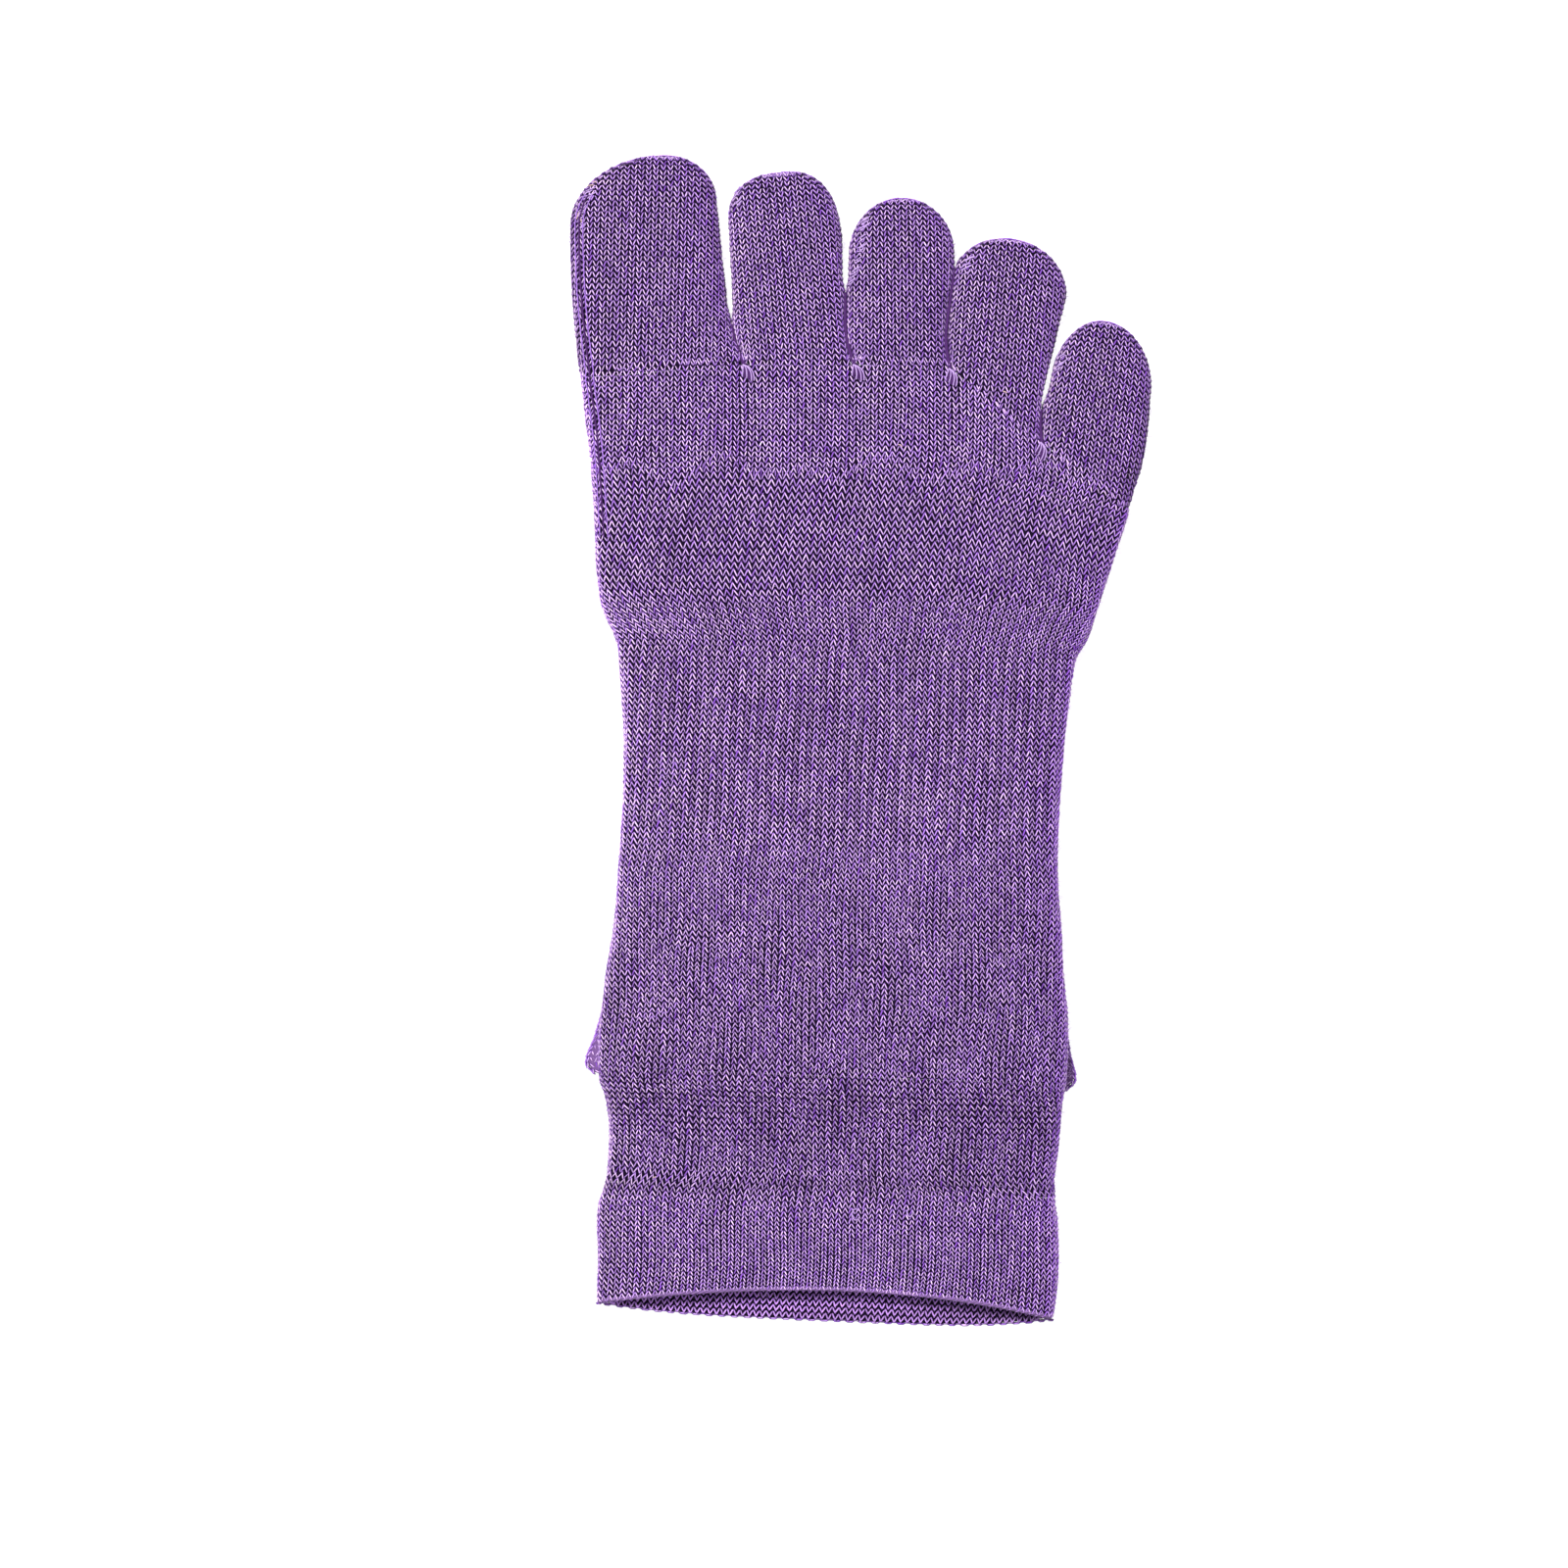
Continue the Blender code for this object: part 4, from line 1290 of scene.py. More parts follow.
SHELL_TOP = -np.cos(np.linspace(0.0, math.pi, 61))
SHELL_UNDER = np.array((1.8, 1.5, 1.2, 1.0, 0.8, 0.6, 0.4, 0.2, 0.0, -0.2, -0.4, -0.6, -0.8, -1.0, -1.2, -1.5, -1.8))


def body_shell_grid(levels, bow=False):
    """Rings of the body at each y, those of the cuff drawn back at its mouth."""
    rings = []
    for y in levels:
        top = body_top(SHELL_TOP, np.full_like(SHELL_TOP, y))
        under = body_under(SHELL_UNDER, np.full_like(SHELL_UNDER, y))
        if bow:
            top, under = mouth_bow(top, True), mouth_bow(under, False)
        rings.append(np.concatenate([top, under]))
    return np.array(rings)


def line_shift(toe, place, along):
    """How far points move along a toe's axis so that they lie a distance past the toe line."""
    moved = np.zeros(place.shape[:-1])
    for _ in range(6):
        x = place[..., 0] + moved * toe.ahead[0]
        y = place[..., 1] + moved * toe.ahead[1]
        moved += (toe_line(line_place(x)) + 0.5 * GAP + along * toe.ahead[1] - y) / toe.ahead[1]
    return moved


def toe_rings(toe):
    """Rings of a toe from the toe line to its tip, no wider than the toe is there."""
    turn = np.sin(np.linspace(0.0, 0.5 * math.pi, 14))
    tip = toe.round_from + (toe.length - 0.0007 - toe.round_from) * turn
    rings = []
    for a in np.concatenate([np.linspace(0.0, toe.round_from, 14)[:-1], tip]):
        level = np.full_like(SHELL_TOP, a)
        ring = np.concatenate([toe.top(SHELL_TOP, level), toe.under(SHELL_UNDER, np.full_like(SHELL_UNDER, a))])
        new = a + max(1.0 - a / (LINE_FADE_SHARE * toe.length), 0.0) * line_shift(toe, ring, a)
        across = (ring[:, :2] - toe.middle) @ toe.aside
        wide = np.where(across < 0.0, toe.half(new, 0) / toe.half(a, 0), toe.half(new, 1) / toe.half(a, 1))
        across = across * np.minimum(wide, 1.0)
        ring[:, :2] = toe.middle + new[:, None] * toe.ahead + across[:, None] * toe.aside
        rings.append(ring)
    return np.array(rings)


class ShellsOperator(bpy.types.Operator):
    """Makes the ground of the cloth, dark with painted shade between the stitches: a hollow skin for each solid"""

    bl_idname = "sock.make_ground"
    bl_label = "Ground of the cloth"

    def execute(self, context):
        depth = sizes().ground_depth
        ground = ground_cloth()
        for toe in TOE_SHAPES:
            grid = toe_rings(toe)
            shell(toe.name + "_ground", sunk(grid, depth), sunk(grid, WALL), True, ground, "yarn")
        straight = body_shell_grid(np.linspace(0.5 * GAP, ARCH_TO, 42)[:-1])
        fan = []
        for t in np.linspace(0.0, 1.0, 26):
            rings = []
            for surface, run in ((body_top, SHELL_TOP), (body_under, SHELL_UNDER)):
                y = mix(ARCH_TO, toe_line(run * 0.5), t)
                for _ in range(5):
                    x = surface(run, y)[:, 0]
                    y = mix(ARCH_TO, toe_line(line_place(x)) - 0.5 * GAP, t)
                rings.append(surface(run, y))
            fan.append(np.concatenate(rings))
        grid = np.concatenate([straight, np.array(fan)])
        shell("foot_ground", sunk(grid, depth), sunk(grid, WALL), False, ground, "yarn")
        grid = body_shell_grid(np.linspace(CUFF_LINE + 0.5 * GAP, -0.5 * GAP, 22))
        shell("leg_ground", sunk(grid, depth), sunk(grid, WALL), False, ground, "yarn")
        grid = body_shell_grid(np.linspace(MOUTH_LINE, CUFF_LINE - 0.5 * GAP, 22), bow=True)
        shell("cuff_ground", sunk(grid, depth), sunk(grid, CUFF_WALL), False, ground, "cuff_yarn")
        q = np.concatenate([np.linspace(0.0, 1.0, 41), np.linspace(1.0, 2.0, 33)[1:-1]])
        shares = np.sin(np.linspace(0.0, 0.5 * math.pi, 30)) * 0.985
        grid = np.array([pocket_shape(q, np.full_like(q, share)) for share in shares])
        grid[:, :, 1] += 0.5 * GAP
        lilac = material_named("heel_cloth", plain_cloth, (0.15, 0.075, 0.22))
        shell("heel_pocket_ground", sunk(grid, 0.3 * depth), sunk(grid, WALL), True, lilac, "heel_yarn")
        return {"FINISHED"}


def fresh(salt):
    return np.random.default_rng(sizes().seed + salt)


def line_reach(place):
    """How much further the body's stitches reach over the toe line at this place along it."""
    big, middle, little, crotch = (share * sizes().course for share in LINE_REACHES)
    reach = np.where(place < LINE_S[1], big, middle)
    for s in LINE_S[1:4]:
        reach = np.maximum(reach, crotch * (np.abs(place - s) < CROTCH_REACH_SHARE))
    return np.where(place > LINE_S[3] + 0.03, little, reach)


def fill_turn(grid, turned, widths, rng, strands):
    """Upright strands between the wales where the knit turns round."""
    across, along, normal = frame_of(grid)
    below = np.roll(turned, -1, axis=0)
    middle = 0.5 * (grid[turned] + grid[below]) + across[turned] * (0.5 * widths[turned])[:, None]
    count = len(middle)
    stretch = np.array((1.0, 1.45, 1.0)) * (1.0 + rng.normal(0.0, 0.1, (count, 3)))
    way = along[turned] + across[turned] * rng.normal(0.0, 0.12, count)[:, None]
    out = normal[turned]
    gleam = np.clip(rng.normal(0.35, 0.25, count), 0.0, 1.0)
    shade = rng.normal(0.72, 0.08, count)
    strands.add(middle - out * 0.6 * sizes().strand_thickness, way, out, stretch, shade, gleam)


class BodyKnitOperator(bpy.types.Operator):
    """Knits the top of the cuff, leg, rear foot, arch and forefoot"""

    bl_idname = "sock.knit_body"
    bl_label = "Knit of the body"

    def execute(self, context):
        rng = fresh(1)
        rows = body_rows()
        plain, kept_, widths = top_grid(rows)
        ahead = rows[rows < FOOT_LENGTH + LINE_OVERLAP][-1] - FOOT_LENGTH + 0.45 * sizes().course
        place = line_place(plain[..., 0])
        kept_ &= plain[..., 1] < toe_line(place) + ahead + line_reach(place)
        over = kept_ & (plain[..., 1] > toe_line(place) - 0.0004)
        spots = plain[over]
        heights = np.array([height_at(x, y + LOOK_AHEAD) for x, y, _ in spots])
        spots[:, 2] = np.maximum(spots[:, 2], heights - LOOK_DROP)
        plain[over] = spots
        opens = plain[..., 1] > turn_line(plain)
        cuff = rows < CUFF_LINE
        plain[cuff] = mouth_bow(plain[cuff], True)
        grid = strayed(plain)
        way = np.where(opens, 1.0, -1.0)
        zones = (
            ("cuff_stitches", MOUTH_LINE - 1.0, CUFF_LINE, "cuff_yarn"),
            ("leg_stitches", CUFF_LINE, 0.0, "yarn"),
            ("rear_foot_stitches", 0.0, ARCH_FROM, "yarn"),
            ("arch_stitches", ARCH_FROM, ARCH_TO, "yarn"),
            ("forefoot_stitches", ARCH_TO, 1.0, "yarn"),
        )
        for name, start, end, slot in zones:
            strands = Strands()
            inside = ((rows >= start) & (rows < end))[:, None]
            join_body(grid, rng, strands, way, kept_ & inside & ~opens, widths)
            stitched(name, strands, body_yarn(), slot)
        strands = Strands()
        join_body(grid, rng, strands, way, kept_ & opens, widths)
        turned = kept_ & opens
        turned[1:] &= ~opens[:-1]
        turned[0] = False
        fill_turn(grid, turned, widths, rng, strands)
        stitched("toe_line_stitches", strands, body_yarn(), "yarn")
        return {"FINISHED"}


class UndersideOperator(bpy.types.Operator):
    """Knits the underside of the sock, which lies on the floor"""

    bl_idname = "sock.knit_underside"
    bl_label = "Knit of the underside"

    def execute(self, context):
        rng = fresh(2)
        rows = body_rows()
        grid = course_grid(rows, BODY_WALES, body_under, UNDER_Q)
        cuff = rows < CUFF_LINE
        grid[cuff] = mouth_bow(grid[cuff], False)
        hidden = (grid[..., 1] > 0.001) & (grid[..., 1] < POCKET_DEPTH * 0.9)
        middle = np.abs(grid[..., 0] + 0.0055) < 0.036 * np.clip(1.2 - grid[..., 1] / POCKET_DEPTH, 0.0, 1.0)
        open_ = ~(hidden & middle)
        for name, start, end, slot in (
            ("cuff_underside", MOUTH_LINE - 1.0, CUFF_LINE, "cuff_yarn"),
            ("leg_underside", CUFF_LINE, 0.0, "yarn"),
            ("sole_underside", 0.0, ARCH_TO, "yarn"),
            ("forefoot_underside", ARCH_TO, 1.0, "yarn"),
        ):
            strands = Strands()
            mask = open_ & ((rows >= start) & (rows < end))[:, None]
            mask &= grid[..., 1] < toe_line(line_place(grid[..., 0])) + 0.0004
            join_body(grid, rng, strands, -1.0, mask)
            stitched(name, strands, body_yarn(), slot, fine=False)
        return {"FINISHED"}


def toe_rows(toe):
    """Courses of a toe by distance over its top, from its lowest corner to its tip."""
    rows = body_rows()
    last = rows[rows < FOOT_LENGTH + LINE_OVERLAP][-1] - FOOT_LENGTH
    start = last + 0.98 * sizes().course - 0.5 * GAP if toe in TOE_SHAPES[:LEVEL_TOES] else toe.low - 0.001
    along = np.linspace(start, toe.length - 0.0004, 500)
    profile = np.stack([np.zeros_like(along), along, toe.top_height(along)], axis=1)
    total = curve_length(profile)
    places = np.arange(0.0, total, sizes().course * 0.98)
    return by_length(profile, places)[:, 1]


def toe_grid(toe, rows, surface, run):
    """Wales at equal distances from the toe's axis; those past its fold are marked."""
    step = sizes().toe_wale
    wales = int(0.5 * FOREFOOT_WIDTH * 0.36 / step)
    grid, kept_ = [], []
    for a in rows:
        curve = surface(run, np.full_like(run, a))
        distance = run_of(curve)
        across = (curve[:, :2] - toe.middle) @ toe.aside
        rising = across[-1] > across[0]
        middle = np.interp(0.0, across if rising else across[::-1], distance if rising else distance[::-1])
        places = middle + step * (np.arange(-wales, wales + 1) + 0.5)
        kept_.append((places > 0.0) & (places < distance[-1]))
        grid.append(by_length(curve, np.clip(places, 0.0, distance[-1])))
    return np.array(grid), np.array(kept_)


def from_line(toe, rows, grid):
    """Bends the courses next to the toe line so that they run along it."""
    levels = np.maximum(rows, 0.0)[:, None]
    fade = np.clip(1.0 - levels / (LINE_FADE_SHARE * toe.length), 0.0, 1.0)
    bent = grid.copy()
    bent[..., :2] += (fade * line_shift(toe, grid, rows[:, None]))[..., None] * toe.ahead
    return bent


UP = np.array((0.0, 0.0, 1.0))


def in_plan(toe, way):
    """Directions along and across a toe as directions in space."""
    flat = np.zeros((len(way), 3))
    flat[:, :2] = way[:, :1] * toe.ahead + way[:, 1:] * toe.aside
    return flat


def toe_tip_rim(toe, strands, rng):
    """Stitches over the round edge of a tip, where the courses turn under."""
    size = sizes()
    turn = np.linspace(0.08 * math.pi, 0.5 * math.pi - 1e-6, 60)
    plan = []
    for which, side in ((0, -1.0), (1, 1.0)):
        arc = toe.arc(*toe.arcs[which], turn) * np.array((1.0, side))
        plan.append(arc if side < 0 else arc[::-1])
    plan = np.concatenate(plan)
    length = run_of(plan)[-1]
    cord = by_length(plan, np.arange(0.0, length, 0.6 * size.toe_wale))
    a, c = cord[:, 0], cord[:, 1]
    inner = 1.0 - 0.00018 / np.maximum(np.hypot(a - toe.round_from, c), 1e-4)
    x, y = toe.plan(mix(toe.round_from, a, inner), c * inner)
    ring = points(x, y, FOLD_SHARE * TIP_HEIGHT)
    way = unit(np.gradient(ring, axis=0))
    out = unit(unit(np.cross(UP, way)) + 0.6 * UP)
    rolled(strands, rng, ring, way, out, (1.2, 1.35, 1.0), 0.08, TIP_SHADE, 0.3, 0.2)
    for level, (inset, lift, tilt) in enumerate(TIP_RINGS):
        spots = by_length(plan, np.arange(0.3 * level * size.toe_wale, length, size.toe_wale))
        ahead = np.gradient(spots, axis=0)
        ahead = ahead / np.linalg.norm(ahead, axis=1, keepdims=True)
        outward = np.stack([ahead[:, 1], -ahead[:, 0]], axis=1)
        outward = outward * np.sign(((spots - np.array((toe.round_from, 0.0))) * outward).sum(1))[:, None]
        a, c = (spots - outward * inset).T
        x, y = toe.plan(a, c)
        z = mix(FOLD_SHARE * TIP_HEIGHT, np.minimum(toe.top_height(a), TIP_HEIGHT * 1.5), lift)
        out = in_plan(toe, outward)
        normal = unit(out * math.sin(tilt) + UP * math.cos(tilt))
        along = unit(out * math.cos(tilt) - UP * math.sin(tilt))
        across = unit(np.cross(along, normal))
        knit(strands, rng, points(x, y, z), across, along, normal, size.toe_wale, size.course, 1.0, TIP_SHADE)


def toe_edges(toe, strands, rng):
    """One wale of stitches along each side fold of a toe, up to its round tip."""
    course = sizes().course
    for which, side in ((0, -1.0), (1, 1.0)):
        centre, reach = toe.arcs[which][:2]
        along = np.arange(toe.sides[which][0, 0], centre + 0.25 * reach, 0.98 * course)
        x, y = toe.plan(along, side * (toe.half(along, which) - EDGE_INSET))
        line = points(x, y, FOLD_SHARE * toe.top_height(along) + EDGE_RISE)
        ahead = unit(np.gradient(line, axis=0))
        out = unit(np.cross(ahead, UP)) * side
        normal = unit(out * 0.62 + 0.78 * UP)
        sideways = unit(np.cross(ahead, normal))
        # EDGE_SHADE is painted shade on the wale along the fold
        knit(strands, rng, line, sideways, ahead, normal, EDGE_WALE, course, 1.0, EDGE_SHADE)


class ToesOperator(bpy.types.Operator):
    """Knits the five toe pockets, tops and undersides"""

    bl_idname = "sock.knit_toes"
    bl_label = "Knit of the toes"

    def execute(self, context):
        size = sizes()
        for k, toe in enumerate(TOE_SHAPES):
            rng = fresh(10 + k)
            rows = toe_rows(toe)
            for part, surface, run, fine in (
                ("stitches", toe.top, TOP_S, True),
                ("underside", toe.under, UNDER_Q, False),
            ):
                grid, keep = toe_grid(toe, rows, surface, run)
                from_side = np.minimum(np.cumsum(keep, axis=1), np.cumsum(keep[:, ::-1], axis=1)[:, ::-1])
                if k < LEVEL_TOES:
                    grid = from_line(toe, rows, grid)
                across = unit(frame_of(grid)[0] + 1e-9)
                along = unit(np.gradient(grid, axis=0) + 1e-9 * np.array((*toe.ahead, 0.0)))
                normal = unit(np.cross(across, along))
                limit = toe_line(line_place(grid[..., 0]))
                keep &= grid[..., 1] > limit - (0.001 if k < LEVEL_TOES else 0.0)
                keep &= np.isfinite(normal).all(-1) & (np.linalg.norm(normal, axis=-1) > 0.5)
                strands = Strands()
                shade = 0.93 + wander(grid, 0.05, 0.9 + k)
                # Painted shade on the outer wales of a toe's top, darkest at its sides
                if fine:
                    shade = shade * (1.0 - np.interp(from_side, (1, 2, 3, 4), TOE_SIDE_SHADES))
                spots = (grid[keep], across[keep], along[keep], normal[keep])
                knit(strands, rng, *spots, size.toe_wale, size.course, 1.0, shade[keep], lean=TOE_LEAN)
                if fine:
                    toe_tip_rim(toe, strands, rng)
                    toe_edges(toe, strands, rng)
                stitched(f"{toe.name}_{part}", strands, body_yarn(), "yarn", fine=fine)
        return {"FINISHED"}


class HeelOperator(bpy.types.Operator):
    """Knits the heel cup, whose corners show at the sides"""

    bl_idname = "sock.knit_heel"
    bl_label = "Knit of the heel cup"

    def execute(self, context):
        rng = fresh(30)
        size = sizes()
        rows = np.arange(0.0, 1.0, size.course / POCKET_DEPTH)
        dense = np.linspace(0.0, 1.0, 260)
        spans = (
            ("heel_pocket_top", ((0.02, EAR_SPAN, EAR_WALES), (1.0 - EAR_SPAN, 0.98, EAR_WALES)), True),
            ("heel_pocket_underside", ((1.0, 2.0, BODY_WALES),), False),
        )
        for name, parts, fine in spans:
            strands = Strands()
            for start, end, wales in parts:
                grid = []
                for share in rows:
                    curve = pocket_shape(mix(start, end, dense), np.full_like(dense, share))
                    places = (np.arange(wales) + 0.5) / wales * curve_length(curve)
                    grid.append(by_length(curve, places))
                grid = np.array(grid)
                across, along, normal = frame_of(grid)
                narrow = np.linalg.norm(np.gradient(grid, axis=1), axis=-1)
                keep = narrow > 0.0004
                shade = (0.95 + wander(grid, 0.05, 0.2))[keep]
                spots = (grid[keep], across[keep], along[keep], normal[keep])
                knit(strands, rng, *spots, narrow[keep], size.course, -1.0, shade)
            if fine:
                for q in (0.0, 1.0):
                    share = np.arange(0.0, 0.45, 0.0007 / POCKET_DEPTH)
                    line = pocket_shape(np.full_like(share, q), share)
                    line[:, 0] += 0.00025 if q == 0.0 else -0.00025
                    line[:, 2] += 0.0002
                    way = unit(np.gradient(line, axis=0))
                    out = np.tile(np.array((-0.8 if q == 0.0 else 0.8, 0.0, 0.6)), (len(line), 1))
                    stretch = np.tile(np.array((1.9, 1.5, 1.2)), (len(line), 1))
                    strands.add(line, way, out, stretch, np.full(len(line), 0.95), np.full(len(line), 0.25))
            stitched(name, strands, body_yarn(), "heel_yarn", fine=fine)
        return {"FINISHED"}


def knit_inside(rng):
    """Stitches inside the rear layer, which the open mouth shows: painted light makes them paler away from the edge.
    """
    size = sizes()
    rows = np.arange(MOUTH_LINE + 0.0004, MOUTH_LINE + INSIDE_DEPTH, size.course)
    grid = mouth_bow(course_grid(rows, BODY_WALES, body_under, np.linspace(1.9, -1.9, 200)), False)
    across, along, normal = frame_of(grid)
    inside = grid - normal * (CUFF_WALL + 0.8 * size.strand_thickness)
    strands = Strands()
    flat = [a.reshape(-1, 3) for a in (inside, across, along, normal)]
    steps = np.linalg.norm(np.gradient(grid, axis=1), axis=-1).ravel()
    # Painted light: brighter deeper in, where the front layer shades the inside
    deep = 1.0 + 0.9 * smooth((flat[0][:, 1] - MOUTH_LINE + 0.0015) / 0.004)
    knit(strands, rng, flat[0], flat[1], flat[2], -flat[3], steps, size.course, 1.0, 1.2 * deep)
    stitched("cuff_inside_stitches", strands, inside_yarn(), "cuff_yarn")


def make_front_rim(rng):
    """The rolled front edge: a thin cord with slanted strands over it."""
    size, c = sizes(), colours()
    run = np.linspace(-0.985, 0.985, 160)
    front = mouth_bow(body_top(run, np.full_like(run, MOUTH_LINE + 0.0002)), True)
    front[:, 2] -= 0.5 * CUFF_WALL
    band = material_named("rim_cloth", plain_cloth, tuple(c.rim), 0.8, 0.00012)
    lines = [(front, np.ones(len(front)))]
    strung("cuff_front_rim", lines, size.rim_radius, 10, band, "cuff_yarn")
    places = np.arange(0.0004, curve_length(front) - 0.0004, ROLL_STEP)
    beads = by_length(front, places)
    count = len(beads)
    sway = np.where(np.arange(count) % 2 == 0, 1.0, -1.0)
    beads[:, 1] += 0.00010 * sway + rng.normal(0.0, 0.00005, count)
    beads[:, 2] += 0.00022
    ahead = unit(np.gradient(beads, axis=0))
    ahead[:, 1] = 0.42 + rng.normal(0.0, 0.08, count)
    up = np.tile(np.array((0.0, -0.25, 1.0)), (count, 1))
    strands = Strands()
    rolled(strands, rng, beads, unit(ahead), up, (1.05, 1.25, 1.0), 0.08, 0.80, 0.12, 0.12)
    stitched("cuff_front_roll", strands, inside_yarn(), "cuff_yarn")


def make_rear_rim(rng):
    """The scalloped rear edge: thick strands along it, every second one further out."""
    back = mouth_bow(body_under(np.linspace(1.95, -1.95, 600), np.full(600, MOUTH_LINE)), False)
    total = curve_length(back)
    step = 0.5 * SCALLOP
    places = np.arange(0.5 * step, total, step)
    spots = by_length(back, places)
    spots[:, 2] += 0.45 * CUFF_WALL
    count = len(spots)
    sideways = unit(np.gradient(spots, axis=0))
    spots[:, 1] -= np.where(np.arange(count) % 2 == 0, 0.00030, 0.00005)
    up = np.tile(np.array((0.0, -0.3, 1.0)), (count, 1))
    strands = Strands()
    rolled(strands, rng, spots, sideways, up, (2.1, 1.75, 1.4), 0.06, 1.0, 0.4, 0.2)
    stitched("cuff_rear_rim", strands, body_yarn(), "cuff_yarn")


class MouthOperator(bpy.types.Operator):
    """Makes the mouth: stitches inside the rear layer, the rolled front edge and the scalloped rear edge"""

    bl_idname = "sock.make_mouth"
    bl_label = "Mouth of the cuff"

    def execute(self, context):
        rng = fresh(40)
        knit_inside(rng)
        make_front_rim(rng)
        make_rear_rim(rng)
        return {"FINISHED"}


def photo_spot(pixel):
    """Point of the sock's own plan that the photo shows at a pixel of its 1600 pixel frame."""
    x = (pixel[0] - PHOTO_ZERO[0]) * PHOTO_WIDTH / PHOTO_PIXELS
    y = (PHOTO_ZERO[1] - pixel[1]) * PHOTO_WIDTH / PHOTO_PIXELS
    return np.array((x - HEEL_LINE_AT[0], y - HEEL_LINE_AT[1]))


def height_at(x, y):
    """Height of the top of the sock over a point of its plan."""
    place = float(line_place(x))
    if y > float(toe_line(place)):
        for toe in TOE_SHAPES:
            away = np.array((x, y)) - toe.middle
            along, across = away @ toe.ahead, away @ toe.aside
            half = toe.half(along, 0 if across < 0.0 else 1)
            if abs(across) < half and toe.low < along < toe.length:
                left, right = toe.half(along, 0), toe.half(along, 1)
                s = 2.0 * (across + left) / (left + right) - 1.0
                return float(toe.top(np.array([s]), np.array([along]))[0, 2])
        return 0.5 * TOE_HEIGHT
    left, right, top = (float(v) for v in body(y))
    s = 2.0 * (x - left) / (right - left) - 1.0
    if abs(s) >= 1.0:
        return 0.5 * top
    return float(body_top(np.array([s]), np.array([y]))[0, 2])


def laid(plan, lift, floor=0.0):
    """A line in plan laid on the cloth, a lift above it, nowhere lower than the floor given."""
    return np.array([(x, y, max(height_at(x, y), floor) + lift) for x, y in plan])


def bow(start, bulge, end, count=9):
    """A quadratic curve in plan."""
    t = np.linspace(0.0, 1.0, count)[:, None]
    start, bulge, end = (np.asarray(p, float) for p in (start, bulge, end))
    return (1 - t) ** 2 * start + 2 * t * (1 - t) * bulge + t**2 * end


def tapered(count, ends=0.45):
    t = np.linspace(0.0, 1.0, count)
    return ends + (1.0 - ends) * np.sin(math.pi * t) ** 0.5


def crotch_lines(rng):
    """Dark cords of painted shade in the creases between the toes and in the gaps of the tufts over them, and the
    tufts' strands.
    """
    creases, tufts, gaps = [], [], []
    for k, s in enumerate(LINE_S[1:-1]):
        before, after = TOE_SHAPES[k], TOE_SHAPES[k + 1]
        corner = np.array((mix(LINE_LEFT_X, LINE_RIGHT_X, 0.5 * (s + 1.0)), float(toe_line(s))))
        line = []
        for rise in np.linspace(-0.0006, CREASE_LENGTHS[k], 14):
            sides = []
            for toe, which, side in ((before, 1, 1.0), (after, 0, -1.0)):
                along = toe.sides[which][0, 0] + max(rise, 0.0)
                sides.append(toe.middle + along * toe.ahead + side * toe.half(along, which) * toe.aside)
            middle = 0.5 * (sides[0] + sides[1])
            line.append((middle[0], corner[1] + rise, 0.0059 - 0.08 * max(rise, 0.0)))
        creases.append((np.array(line), np.linspace(1.0, 0.55, 14)))
        turn = TUFT_TURNS[k]
        ahead = np.array((math.cos(turn), math.sin(turn)))
        down = np.array((ahead[1], -ahead[0]))
        start = corner + down * 0.0001 - ahead * 0.0003
        for reach, drop, kind in TUFT_ARCS:
            reach, drop = reach + rng.normal(0.0, 0.00006), drop + rng.normal(0.0, 0.00010)
            end = start + ahead * reach + down * drop
            shape = bow(start, start + ahead * reach * 0.95 + down * drop * 0.12, end)
            if kind == "strand":
                thick = tapered(len(shape), 0.8) * rng.uniform(0.9, 1.1)
                tufts.append((laid(shape, 0.00048, TUFT_FLOOR), thick))
            else:
                gaps.append((laid(shape, 0.00034, TUFT_FLOOR), tapered(len(shape), 0.8)))
    return creases, gaps, tufts


def side_lines(rng):
    """A dark cord of painted groove shade and two ropes of yarn that run up the forefoot's left side and the big
    toe's.
    """
    toe = TOE_SHAPES[0]
    grooves, ropes = [], []
    for inset, is_groove in SIDE_CORDS:
        along = np.linspace(toe.sides[0][0, 0] + 0.001, 0.80 * toe.length, 60)
        x, y = toe.plan(along, inset - toe.half(along, 0))
        below = np.linspace(FORE_TO - 0.012, y[0] - 0.0008, 40)
        x, y = np.concatenate([body(below)[0] + inset, x]), np.concatenate([below, y])
        line = np.stack([x, y], axis=1) + rng.normal(0.0, 0.00003, (100, 2))
        cord = (laid(line, 0.00034 if is_groove else 0.00026), tapered(100, 0.7))
        (grooves if is_groove else ropes).append(cord)
    return grooves, ropes


def seam_lines(rng):
    """Bits of yarn at the seams of the toe tips."""
    seams = []
    for start, end, count in TIP_SEAMS:
        a, b = photo_spot(start), photo_spot(end)
        for t in (np.arange(count) + 0.5) / count:
            middle = mix(a, b, t) + rng.normal(0.0, 0.00022, 2)
            way = unit(b - a)
            lean = np.array((way[1], -way[0])) * 0.0006 + way * 0.0006
            lean = lean * (1.0 + rng.normal(0.0, 0.2))
            bulge = middle + rng.normal(0.0, 0.0003, 2)
            shape = bow(middle - lean, bulge, middle + lean, 6)
            seams.append((laid(shape, 0.00005), tapered(6) * rng.uniform(0.8, 1.25)))
    return seams


